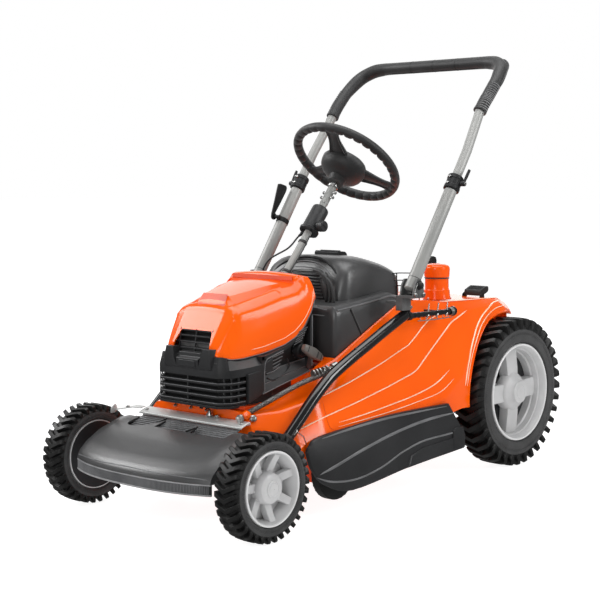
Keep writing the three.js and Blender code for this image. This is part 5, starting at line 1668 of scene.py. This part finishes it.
def columnTube():
    # column with its clamp and foot, the drum on its side and the rocker in the drum
    look = dict(top=-66, radius=8.5, bolts=(-88, -101))
    low = -(steer["z"] - 443) / sin(steer["tilt"])  # where the column meets its foot
    size = look["top"] - low
    shape = Shape().join(turnedAlong(onColumn(low), onColumn(look["top"]),
                                     [(0, look["radius"]), (size - 1, look["radius"]), (size, 7.6)], 32))
    shape.join(turnedAlong(onColumn(-120), onColumn(-60), [(0, 9.4), (4, 9.6), (5, 9.0), (54, 9.0),
                                                           (54.4, 8.2)], 32))
    for far in look["bolts"]:
        shape.join(bar(onColumn(far, -17), onColumn(far, 17), 2.1, 12), 1)
        for x in (-17, 17):
            shape.join(turnedAlong(onColumn(far, x), onColumn(far, x * 1.2),
                                   [(-2, 3.8), (1.2, 3.8), (2, 2.6)], 6), 1)
    shape.join(turnedAlong(onColumn(-74), onColumn(-66), [(0, 11), (1.5, 12), (6.5, 12), (8, 11)], 32), 1)
    shape.join(turnedAlong(onColumn(low + 3), onColumn(low + 30),
                           [(0, 13), (3, 13.5), (20, 10.2), (23, 8.8)], 32), 2)
    shape.join(brick((-19, 19), (303.6, 352), (433, 446.6)), 2)
    shape.join(brick((-19, 19), (334, 352), (419.8, 434)), 2)
    for x in (-13, 13):
        shape.join(turnedAlong((x, 344, 446.4), (x, 344, 450), [(0, 4.4), (3, 4.4), (3.6, 3)], 6), 1)
    piece("columnTube", shape, "chassis", ["tubeSilver", "brightSteel", "satinBlack"],
          ["steering_column"], bevel=0.4)

    def toSwitch(p):
        return (p[0], p[1], p[2] - 181)

    drum = Shape()
    profile = [(-33, 12), (-33, 21.5), (-27, 22.2), (-25.5, 20.5), (-25, 19), (26, 19), (30, 18.6),
               (32.4, 16.8), (33, 14), (33, 9.2)]
    drum.join(upright(profile + [(-33, 9.2)], 48, z=-165))
    drum.join(moved(spun([(16, 4), (16, 7), (19, 8.5), (21, 8.5), (21, 4)], 24), toSwitch), 1)
    drum.join(moved(spun([(19, 3.6), (31, 3.6)], 16, loop=False), toSwitch), 1)
    for a in (0.6, 2.4, 4.4):  # screw heads under the drum
        drum.join(upright([(-1.6, 2.7), (2, 2.7)], 12, 15.5 * cos(a), 15.5 * sin(a), -199, loop=False), 1)
    drum.join(upright([(-3, 4.4), (4, 5.4), (8, 5.4)], 20, -16, 0, -200, loop=False))
    drum.points = [columnSpot(p) for p in drum.points]
    piece("columnDrum", drum, "chassis", ["softGrey", "satinBlack"], ["column_drum"],
          bevel=0.6)
    profile = [(21.4, 4.6), (21.4, 11), (22.6, 12), (36.4, 12), (38, 10.8), (38, 1)]
    rocker = Shape().join(spun(profile, 36, loop=False))
    rocker.join(spun([(25, 11.6), (26, 12.3), (27, 12.3), (28, 11.6)], 36), 1)
    rocker.join(brick((36, 38.7), (-7, 7), (-1.6, 1.6)), 1)
    rocker.points = [columnSpot(toSwitch(p)) for p in rocker.points]
    piece("drumRocker", rocker, "switch", ["softGrey", "satinBlack"], ["drum_switch"],
          bevel=0.5)


def controlCable():
    # thin cable from the drum to the left frame tube, and the lead along the column
    look = dict(radius=2)
    key = [onColumn(-199.5, -13, 0), onColumn(-212, -22, 0), (-70, 420, 528), (-118, 408, 500),
           (-134, 398, 462), (-134, 396, 433)]
    path = flowing(key, 14)
    cable = cordLine("throttleCable", path, look["radius"], "gripRubber", "control_cable")
    spots = [Vector(p) for p in path]
    boot = Shape()
    boot.join(turnedAlong(spots[-1], spots[-4], [(-8, 8), (-6, 8.6), (0, 7), (12, 3.4), (16, 2.7),
                                                 (22, 2.5)], 24))
    boot.join(turnedAlong(spots[0], spots[3], [(-3, 5), (2, 4.6), (8, 3.4), (14, 2.5)], 24))
    ends = piece("cableBoots", boot, "chassis", ["gripRubber"], bevel=0.3)
    clip = Shape()
    run = [onColumn(f, 12.5 - 2 * sin((f + 210) / 26), 2) for f in range(-330, -204, 12)]
    clip.join(tube(flowing(run, 3), 1.5, 8))
    for far in (-230, -310):
        clip.join(turnedAlong(onColumn(far), onColumn(far + 6),
                              [(0, 9.6), (0.8, 10.2), (5, 10.2), (6, 9.6)], 28))
    piece("columnLead", clip, "chassis", ["gripRubber"])


steeringWheel()
columnTube()
controlCable()
print("steering built")


# hinge of the handle, its lean, how far out its legs are, their radius and bore, and the bar's radius
handle = dict(y=486, z=457, lean=radians(55.9), x=227, leg=14, bore=11.7, bar=10.9)


def frameRail(side, sign):
    # bent tube with its end collar, wire clip, foot and studs
    out = sign * frameTube["x"]
    path = flowing([(out, y, z) for y, z in frameTube["line"]], 6)
    shape = Shape().join(tube(path, frameTube["radius"], 28))
    a, b = Vector(path[0]), Vector(path[6])
    shape.join(turnedAlong(a, b, [(-1.4, 9), (-1, 11), (0, 12.2), (9, 12.2), (10, 11.8)], 28), 1)
    clip = [(out + 13.5 * cos(t), 134 + 9 * sin(t), 186 + 8 * sin(t)) for t in
            [pi * k / 12 for k in range(-2, 26)]]
    shape.join(tube(clip, 1.1, 8), 2)
    shape.join(tube([clip[-1], (sign * 222, 150, 176), (sign * 218, 162, 158)], 1.1, 8), 2)
    shape.join(brick(sorted((sign * 196, sign * 210)), (112, 124), (150, 172)))
    shape.join(turnedAlong((sign * 210, 118, 160), (sign * 216, 118, 160), [(0, 6), (3.4, 6), (4.4, 4)], 6),
               2)
    for y, z in ((330, 321), (404, 353)):
        shape.join(turnedAlong((out, y, z + 10), (out, y - 4, z + 18), [(0, 3.4), (3, 3.4), (4, 2)], 12))
    piece(f"frameRail_{side}", shape, "chassis",
          ["blackEnamel", "satinBlack", "brightSteel"],
          [f"frame_tube_{side}"], bevel=0.4)


def pivotFittings(side, sign):
    # cap and bolts on the hinge bracket, and the clamp where the rail begins
    y, z, out = handle["y"], handle["z"], sign * frameTube["x"]
    shape = Shape().join(turnedAlong((sign * 246, y, z), (sign * 256, y, z),
                                     [(0, 9.5), (1.4, 9.8), (1.8, 8.2), (3, 8.2), (6.2, 7.6), (8.6, 5.6),
                                      (9.4, 2.4)], 28), 0)
    for step in (14, -14):
        a, b = (sign * 246.2, y + step, z - 20), (sign * 252, y + step, z - 20)
        shape.join(turnedAlong(a, b, [(0, 5), (3, 5), (4.2, 3.4)], 6), 1)
    rib = flowing([(sign * 246.6, 470, 436), (sign * 246.8, 473, 450), (sign * 246.8, 480, 462)], 5)
    shape.join(tube(rib, 1.4, 8), 1)
    shape.join(turnedAlong((out, 500, 388), (out, 512, 388), [(0, 8), (0.8, 9.4), (11, 9.4), (12, 8)], 28), 0)
    shape.join(bar((out, 505, 396), (out, 505, 412), 4.5, 20), 0)
    shape.join(bar((sign * 194, 505, 408), (sign * 212, 505, 408), 3.2, 16), 1)
    piece(f"pivotFittings_{side}", shape, "chassis", ["satinBlack", "brightSteel"], bevel=0.5)


def heightRail(side, sign):
    # ringed bar with its pins, hooks and end spring
    look = dict(z=388, pins=(572, 606, 640), rings=9, hooks=6)
    x = sign * frameTube["x"]
    shape = Shape().join(turnedAlong((x, 509, look["z"]), (x, 668, look["z"]),
                                     [(0, 5), (1, 6), (158, 6), (159, 5)], 24))
    for k in range(look["rings"]):
        y = 522 + 16 * k
        shape.join(turnedAlong((x, y, look["z"]), (x, y + 4, look["z"]), [(0, 6.6), (4, 6.6)], 20))
    for y in look["pins"]:
        shape.join(bar((x + sign * 4, y - 6, look["z"] - 9), (x + sign * 1, y + 5, look["z"] + 22), 1.9, 12,
                       1.3), 1)
        shape.join(turnedAlong((x + sign * 4, y - 4, look["z"] - 5), (x + sign * 3, y, look["z"] + 4),
                               [(0, 3.4), (4, 3.4), (5, 2.4)], 14), 1)
    for k in range(look["hooks"]):
        y = 540 + 20 * k
        shape.join(tube([(x + sign * 5, y, look["z"] - 6), (x + sign * 6.5, y + 1, look["z"] - 13)], 1.0,
                        8), 2)
    shape.join(tube([(x + sign * 6.5, 530, look["z"] - 12), (x + sign * 7.5, 590, look["z"] - 13),
                     (x + sign * 6, 655, look["z"] - 12)], 1.2, 8), 2)
    coil = []
    for k in range(75):
        t = 2 * pi * k / 14
        coil.append((x + 8.4 * cos(t), 652 + 14 * k / 74, look["z"] + 8.4 * sin(t)))
    shape.join(tube(coil, 1.1, 8), 2)
    for y in (535, 624):
        reach = deckSide(y, look["z"] - 2) if y > 600 else 152
        shape.join(bar((x, y, look["z"]), (sign * (reach - 1), y, look["z"]), 4, 16))
    shape.join(turnedAlong((x, 662, look["z"]), (x, 668, look["z"]), [(0, 10), (1, 11), (5, 11), (6, 10)],
                           28))
    piece(f"heightRail_{side}", shape, "chassis", ["blackEnamel", "brightSteel", "pressedZinc"],
          [f"adjuster_rail_{side}"], bevel=0.3)


def wireGuard():
    # thin wire basket behind the box, on both sides
    look = dict(wire=1.3, heights=(446, 458, 474), foot=402, posts=((122, 566), (146, 590), (140, 625)))
    shape = Shape()
    for sign in (1, -1):
        for z in look["heights"]:
            path = flowing([(sign * 104, 560, z - 4), (sign * 122, 566, z), (sign * 146, 590, z),
                            (sign * 140, 625, z - 1),
                            (sign * 112, 640, z - 4)], 5)
            shape.join(tube(path, look["wire"], 8))
        for x, y in look["posts"]:
            shape.join(bar((sign * x, y, look["foot"]), (sign * x, y, look["heights"][-1] + 1),
                           look["wire"], 8))
    piece("wireGuard", shape, "chassis", ["blackEnamel"])


for side, sign in hands.items():
    frameRail(side, sign)
    pivotFittings(side, sign)
    heightRail(side, sign)
wireGuard()
print("frame tubes built")

def onHandle(far, x, forward=0.0):
    # a spot at a distance along the handle from its hinge, x out, and forward of its middle plane
    c, s = cos(handle["lean"]), sin(handle["lean"])
    return (x, handle["y"] + far * c - forward * s, handle["z"] + far * s + forward * c)


def lowerLeg(side, sign):
    # hollow lower tube; the right one carries the paddle's ear
    look = dict(start=-12, end=240, hollow=180, lugAt=150)
    x, leg, bore = sign * handle["x"], handle["leg"], handle["bore"]
    size = look["end"] - look["start"]
    profile = [(0, 11), (0.8, 13.6), (1.6, leg), (size - 1, leg), (size, 13.4), (size, bore),
               (look["hollow"], bore)]
    shape = Shape().join(turnedAlong(onHandle(look["start"], x), onHandle(look["end"], x), profile, 40))
    shape.join(turnedAlong(onHandle(14, x), onHandle(15.4, x), [(0, 14.3), (1.2, 14.3)], 40), 1)
    if side == "right":
        at = look["lugAt"]
        shape.join(bar(onHandle(at, x, 12.8), onHandle(at, x, 20), 5, 20), 1)
        shape.join(bar(onHandle(at, x - 8, 22), onHandle(at, x + 8, 22), 3.5, 16), 1)
        band = [(0, 14.4), (1, 15), (11, 15), (12, 14.4)]
        shape.join(turnedAlong(onHandle(at - 6, x), onHandle(at + 6, x), band, 40), 1)
    piece(f"lowerLeg_{side}", shape, "handle_lower", ["tubeSilver", "satinBlack"],
          [f"lower_tube_{side}"], bevel=0.3, corner=30)


def clampCollar(side, sign):
    # collar at the top of the lower tube, with its bolts
    x = sign * handle["x"]
    look = dict(start=240.4, end=276, screws=(250, 266))
    shape = Shape()
    a, b = onHandle(look["start"], x), onHandle(look["end"], x)
    profile = [(0, 13), (0, 16.6), (1.4, 18), (9, 18), (10, 17), (25, 17), (26, 18), (33.8, 18),
               (35.4, 16.4), (35.6, 11.6)]
    shape.join(turnedAlong(a, b, profile, 40))
    shape.join(bar(onHandle(258, x + sign * 15), onHandle(258, x + sign * 24), 3, 16), 1)
    for s in look["screws"]:
        shape.join(turnedAlong(onHandle(s, x - sign * 2, 17), onHandle(s, x - sign * 2, 24),
                               [(-3, 3.2), (3, 3.2), (4, 2)], 6), 1)
        shape.join(bar(onHandle(s, x + sign * 2, 16), onHandle(s, x + sign * 2, 21.5), 1.5, 10), 1)
        shape.join(bar(onHandle(s, x, -16.5), onHandle(s, x, -23), 1.6, 10), 1)
    shape.join(stacked([[onHandle(s, x + sign * d, f) for s, f in ((243, 0), (273, 0), (273, 7), (243, 7))]
                        for d in (15.5, 19)]))
    piece(f"clampCollar_{side}", shape, "handle_lower", ["satinBlack", "brightSteel"],
          [f"collar_{side}"], bevel=0.5)


def clampLever(side, sign):
    # cam lever on the side of the collar
    x = sign * handle["x"]
    look = dict(at=258, reach=36, width=2.7, swell=1.1)
    boss = [(0, 3.2), (0, 4.6), (1, 5.6), (11, 5.6), (13, 4.4)]
    shape = Shape().join(turnedAlong(onHandle(look["at"], x + sign * 19),
                                     onHandle(look["at"], x + sign * 32), boss, 28))
    rings = []
    for k in range(9):
        t = k / 8
        s = look["at"] + look["reach"] * t
        wide = look["width"] + look["swell"] * sin(t * 2.4)
        spot = Vector(onHandle(s, x + sign * (26.4 + 1.6 * t), 0))
        ring = []
        for a in around(16):
            ahead = Vector(onHandle(s, 0, 1)) - Vector(onHandle(s, 0, 0))
            ring.append(tuple(spot + Vector((wide * 0.8 * cos(a), 0, 0)) + ahead * wide * sin(a)))
        rings.append(ring)
    shape.join(stacked(rings))
    shape.join(turnedAlong(onHandle(258, x + sign * 31), onHandle(258, x + sign * 34),
                           [(0, 3.6), (1.6, 3.6), (2.4, 2.4)], 6), 1)
    piece(f"clampLever_{side}", shape, f"clamp_{side}", ["satinBlack", "brightSteel"],
          [f"clamp_lever_{side}"], bevel=0.4)


# the bar above the legs: distance along the handle, x, forward
barBend = [(453, 218, 0), (480, 218.6, -2), (500, 219, -5), (528, 218.6, -9.5), (549, 217, -15),
           (572, 212, -20.5),
           (590, 206, -26), (603, 196, -30), (614, 180, -33), (619, 160, -35), (621, 138, -36),
           (621, 60, -36), (621, 0, -36)]


def barLine(start):
    leg = [(140, handle["x"], 0), (345, handle["x"], 0)]
    half = [onHandle(*p) for p in [q for q in leg if q[0] >= start] + barBend if p[0] >= start]
    return half + [(-x, y, z) for x, y, z in reversed(half[:-1])]


def upperBar():
    # one bent tube from leg to leg
    shape = Shape()
    spots = barLine(140)  # from inside the legs, over the top and down again
    path = [spots[0], spots[1]] + flowing(spots[2:-2], 4) + [spots[-2], spots[-1]]
    shape.join(tube(path, handle["bar"], 28))
    piece("upperBar", shape, "handle_upper", ["tubeSilver"], ["push_bar"], corner=50)


def gripSleeve():
    # rubber sleeve with slanting ribs and a softer pad at each bend
    look = dict(radius=14.4, flare=2.0, ribs=15, rings=(-150, -66, 0, 66, 150))
    shape = Shape()
    path = flowing(barLine(453), 5)
    count = len(path)
    radii = []
    for i in range(count):
        near = min(i, count - 1 - i)
        r = look["radius"]
        if near < 2:
            r += 0.5
        r += look["flare"] * ease(14, 26, near) * (1 - ease(40, 52, near)) * 0.8
        radii.append(r)
    shape.join(tube(path, radii, 32))
    spots = [Vector(p) for p in path]
    for end in (1, -1):
        order = spots if end == 1 else list(reversed(spots))
        side = Vector((end, 0, 0))
        # rows of slanting ribs over the lower part of the grip
        for i in range(1, 1 + look["ribs"]):
            here, ahead = order[i], order[i + 1]
            way = (ahead - here).normalized()
            out = (side - way * side.dot(way)).normalized()
            front = out.cross(way) * end
            arc = []
            for n in range(11):
                a = radians(-82 + 13.5 * n)
                r = look["radius"] + 0.65
                arc.append(tuple(here + way * (0.462 * (n - 5)) + (out * cos(a) - front * sin(a)) * r))
            wide = [0.75 * min(1, 0.3 + min(n, 10 - n) / 3) for n in range(11)]
            shape.join(tube(arc, wide, 6), 1)
        panel = []
        for i in range(17, 44, 2):
            way = (order[i + 1] - order[i]).normalized()
            out = (side - way * side.dot(way)).normalized()
            panel.append(tuple(order[i] + out * (radii[i] - 0.4)))
        wide = [4.6 * min(1, 0.25 + min(n, 26 - n) / 7) for n in range(27)]
        shape.join(tube(flowing(panel, 2), wide, 10, flat=0.35, up=(0, 0.8, 0.4)), 2)
        cuff = order[0]
        shape.join(turnedAlong(cuff, order[3], [(-2, 13.4), (-1.4, 15.2), (2.4, 15.5), (3.2, 14.6)], 32), 0)
        shape.join(tube([tuple(cuff + side * 14.6), tuple(cuff + side * 16 - (order[3] - cuff) * 0.5)], 1.6,
                        8), 0)
    y, z = spots[count // 2].yz
    ring = look["radius"] + 0.32
    for x in look["rings"]:
        shape.join(turnedAlong((x - 0.6, y, z), (x + 0.6, y, z), [(0, ring), (1.2, ring)], 32), 3)
    low = [(x, y - 6, z - 13.2) for x in (-128, -60, 0, 60, 128)]
    shape.join(tube(low, 0.9, 6), 3)
    piece("gripSleeve", shape, "handle_upper", ["gripRubber", "ribGrey", "softGrey", "deepBlackAndShade"],
          ["bar_grip"], corner=40)


def stopPaddle():
    # bail paddle with a hooked tip, on its ear
    x = -handle["x"]
    corners = [(146, 24), (186, 21), (222, 20), (230, 22), (233, 27), (227, 45), (222, 52), (214, 50),
               (180, 40), (150, 32), (145, 28)]
    shape = Shape()
    rings = []
    for dx, s in ((-13, 0.94), (-12.2, 1), (-9.8, 1), (-9, 0.94)):
        rings.append([onHandle(188 + (a - 188) * s, x + dx, 34 + (f - 34) * s) for a, f in corners])
    shape.join(stacked(rings))
    for k in range(5):
        a = 190 + 7 * k
        shape.join(bar(onHandle(a, x - 13.3, 26), onHandle(a + 3, x - 13.3, 42), 0.9, 8), 1)
    shape.join(turnedAlong(onHandle(150, x - 14, 22), onHandle(150, x - 8.4, 22),
                           [(0, 6.6), (1, 8), (4.6, 8), (5.6, 7)], 28))
    piece("stopPaddle", shape, "paddle", ["satinBlack", "greyTrimAndPaintedHighlight"], ["control_paddle"],
          bevel=0.5)


for side, sign in hands.items():
    lowerLeg(side, sign)
    clampCollar(side, sign)
    clampLever(side, sign)
upperBar()
gripSleeve()
stopPaddle()
print("handle built")


def fillerNeck():
    look = dict(x=100, y=743, screws=30.6)
    neck = [(404.9, 1), (404.9, 32.6), (406.5, 32.4), (414, 30.6), (426, 29.8), (427, 28.6), (429.5, 27.8),
            (440, 27.4), (452.6, 27.2),
            (453.6, 27.8), (455, 27.4), (455, 1)]
    x, y = look["x"], look["y"]
    shape = Shape().join(upright(neck, 56, x, y, loop=False))
    shape.join(upright([(452.4, 27), (452.4, 29), (454.6, 29), (454.6, 27)], 56, x, y), 1)
    for t in (0.5, 2.6, 4.7):  # screws round the foot
        spot = (x + look["screws"] * cos(t), y + look["screws"] * sin(t))
        shape.join(turnedAlong((*spot, 404), (*spot, 412), [(0, 3.4), (4.4, 3.4), (5.4, 2)], 6), 2)
    piece("fillerNeck", shape, "chassis", ["orangeGloss", "gripRubber", "brightSteel"],
          ["fuel_neck"], bevel=0.4, corner=30)


def fillerCap():
    # ribbed cap with a raised triangle on top
    look = dict(x=100, y=743, grooves=40)
    shape = Shape()
    profile = [(455.6, 1), (455.6, 27.6), (456.6, 28.8), (462, 29.2), (474, 29.8), (477, 29.7),
               (480.4, 28.4), (483.4, 25), (485.4, 19.5),
               (486.4, 12), (486.6, 1)]
    rings = []
    sides = look["grooves"] * 4
    for z, radius in profile:
        ring = []
        for k in range(sides):
            t = 2 * pi * k / sides
            groove = 0.5 * (k % 4 == 0) if 456 < z < 463 else 0
            ring.append((look["x"] + (radius - groove) * cos(t), look["y"] + (radius - groove) * sin(t), z))
        rings.append(ring)
    shape.join(stacked(rings))
    tri = [(0, 11), (-9.5, -6), (9.5, -6)]
    shape.join(stacked([[(look["x"] + a * s, look["y"] + b * s, z) for a, b in tri]
                        for z, s in ((484.2, 1), (486.9, 0.9))]), 1)
    piece("fillerCap", shape, "filler_cap", ["orangeGloss", "orangeShadeAndDarkTone"], ["fuel_cap"],
          bevel=0.4, corner=34)


def leverKnob():
    # ribbed knob on its flat stalk
    look = dict(y=845, ribs=5)
    y = look["y"]
    shape = Shape()
    rings = []
    for z, wide, back, front in ((456, 6, 7, 4), (459, 8.4, 12, 3), (466, 8.9, 17, 3), (486, 8.9, 18.6, 3),
                                 (493, 8, 17, 1.5), (495.8, 5, 12, -4)):
        rings.append([(-wide, y - front, z), (wide, y - front, z), (wide, y + back, z), (-wide, y + back, z)])
    shape.join(stacked(rings))
    for k in range(look["ribs"]):
        shape.join(bar((-8.9, y - 3, 465 + 5 * k), (8.9, y - 3, 465 + 5 * k), 0.9, 8), 1)
        shape.join(bar((-8.9, y + 18.4, 465 + 5 * k), (8.9, y + 18.4, 465 + 5 * k), 0.7, 8), 1)
    stalk = [[(-4.4, y - 4.6, z), (4.4, y - 4.6, z), (4.4, y + 5.6, z), (-4.4, y + 5.6, z)]
             for z in (381, 460)]
    shape.join(stacked(stalk), 0)
    shape.join(turnedAlong((-8, y, 384), (8, y, 384), [(0, 7), (1, 8), (15, 8), (16, 7)], 28), 1)
    piece("leverKnob", shape, "height_control", ["satinBlack", "softGrey"], ["height_lever"],
          bevel=1.2, steps=3)


def tailLatch():
    # ribbed flap on two ears
    outline = [(898.4, 402.6), (906, 402.4), (916, 405.8), (929, 411.2), (932, 416), (931.6, 421.6),
               (929, 424.6),
               (923, 424.9), (912, 420.8), (900, 416), (898, 409)]
    look = dict(x=(66.2, 113.8), ribs=8)
    shape = Shape().join(slab(outline, *look["x"]))
    for k in range(look["ribs"]):
        x = 72 + 5 * k
        shape.join(tube([(x, 904, 418.1), (x, 914, 421.9), (x, 923, 425.1)], 0.8, 6), 1)
    piece("tailLatch", shape, "latch", ["softGrey", "satinBlack"], ["rear_latch"], bevel=0.9)
    seat = Shape()
    for x in (64.4, 115.6):
        seat.join(slab([(892, 396), (912, 396), (910, 407), (902, 411), (894, 406)], x - 1.2, x + 1.2), 0)
    piece("latchSeat", seat, "chassis", ["satinBlack"], bevel=0.8)


fillerNeck()
fillerCap()
leverKnob()
tailLatch()
print("controls built")

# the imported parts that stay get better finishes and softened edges
keptFinishes = {
    "orange_gloss": "orangeGloss", "dark_plastic": "softGrey", "black_plastic": "satinBlack",
    "tyre_rubber": "treadRubber",
    "grey_plastic": "wheelGrey", "soft_rubber": "gripRubber", "silver_metal": "tubeSilver",
    "cast_metal": "castAlloy",
    "bright_steel": "brightSteel", "black_paint": "blackEnamel",
}
slotOf = {part["node"]: part["material_slot"] for part in frame["record"]["subparts"]}
special = {"blade": "tempered", "drive_belt": "gripRubber", "pivot_bracket_left": "castAlloy",
           "pivot_bracket_right": "castAlloy"}
for name, node in frame["nodes"].items():
    if node.hide_render:
        continue
    own = special.get(name) or keptFinishes[slotOf[name]]
    for i in range(len(node.data.materials)):
        node.data.materials[i] = skins[own]
    if not node.data.materials:
        node.data.materials.append(skins[own])
    weld = node.modifiers.new("weld", "WELD")
    weld.merge_threshold = 0.00001
    edge = node.modifiers.new("edge", "BEVEL")
    edge.width = 0.0007
    edge.segments = 2
    edge.limit_method = "ANGLE"
    edge.angle_limit = radians(36)
    edge.harden_normals = True
    dropLayers(node.data, ("custom_normal", "sharp_face", "sharp_edge"))
    node.data.shade_smooth()
print("kept parts finished")
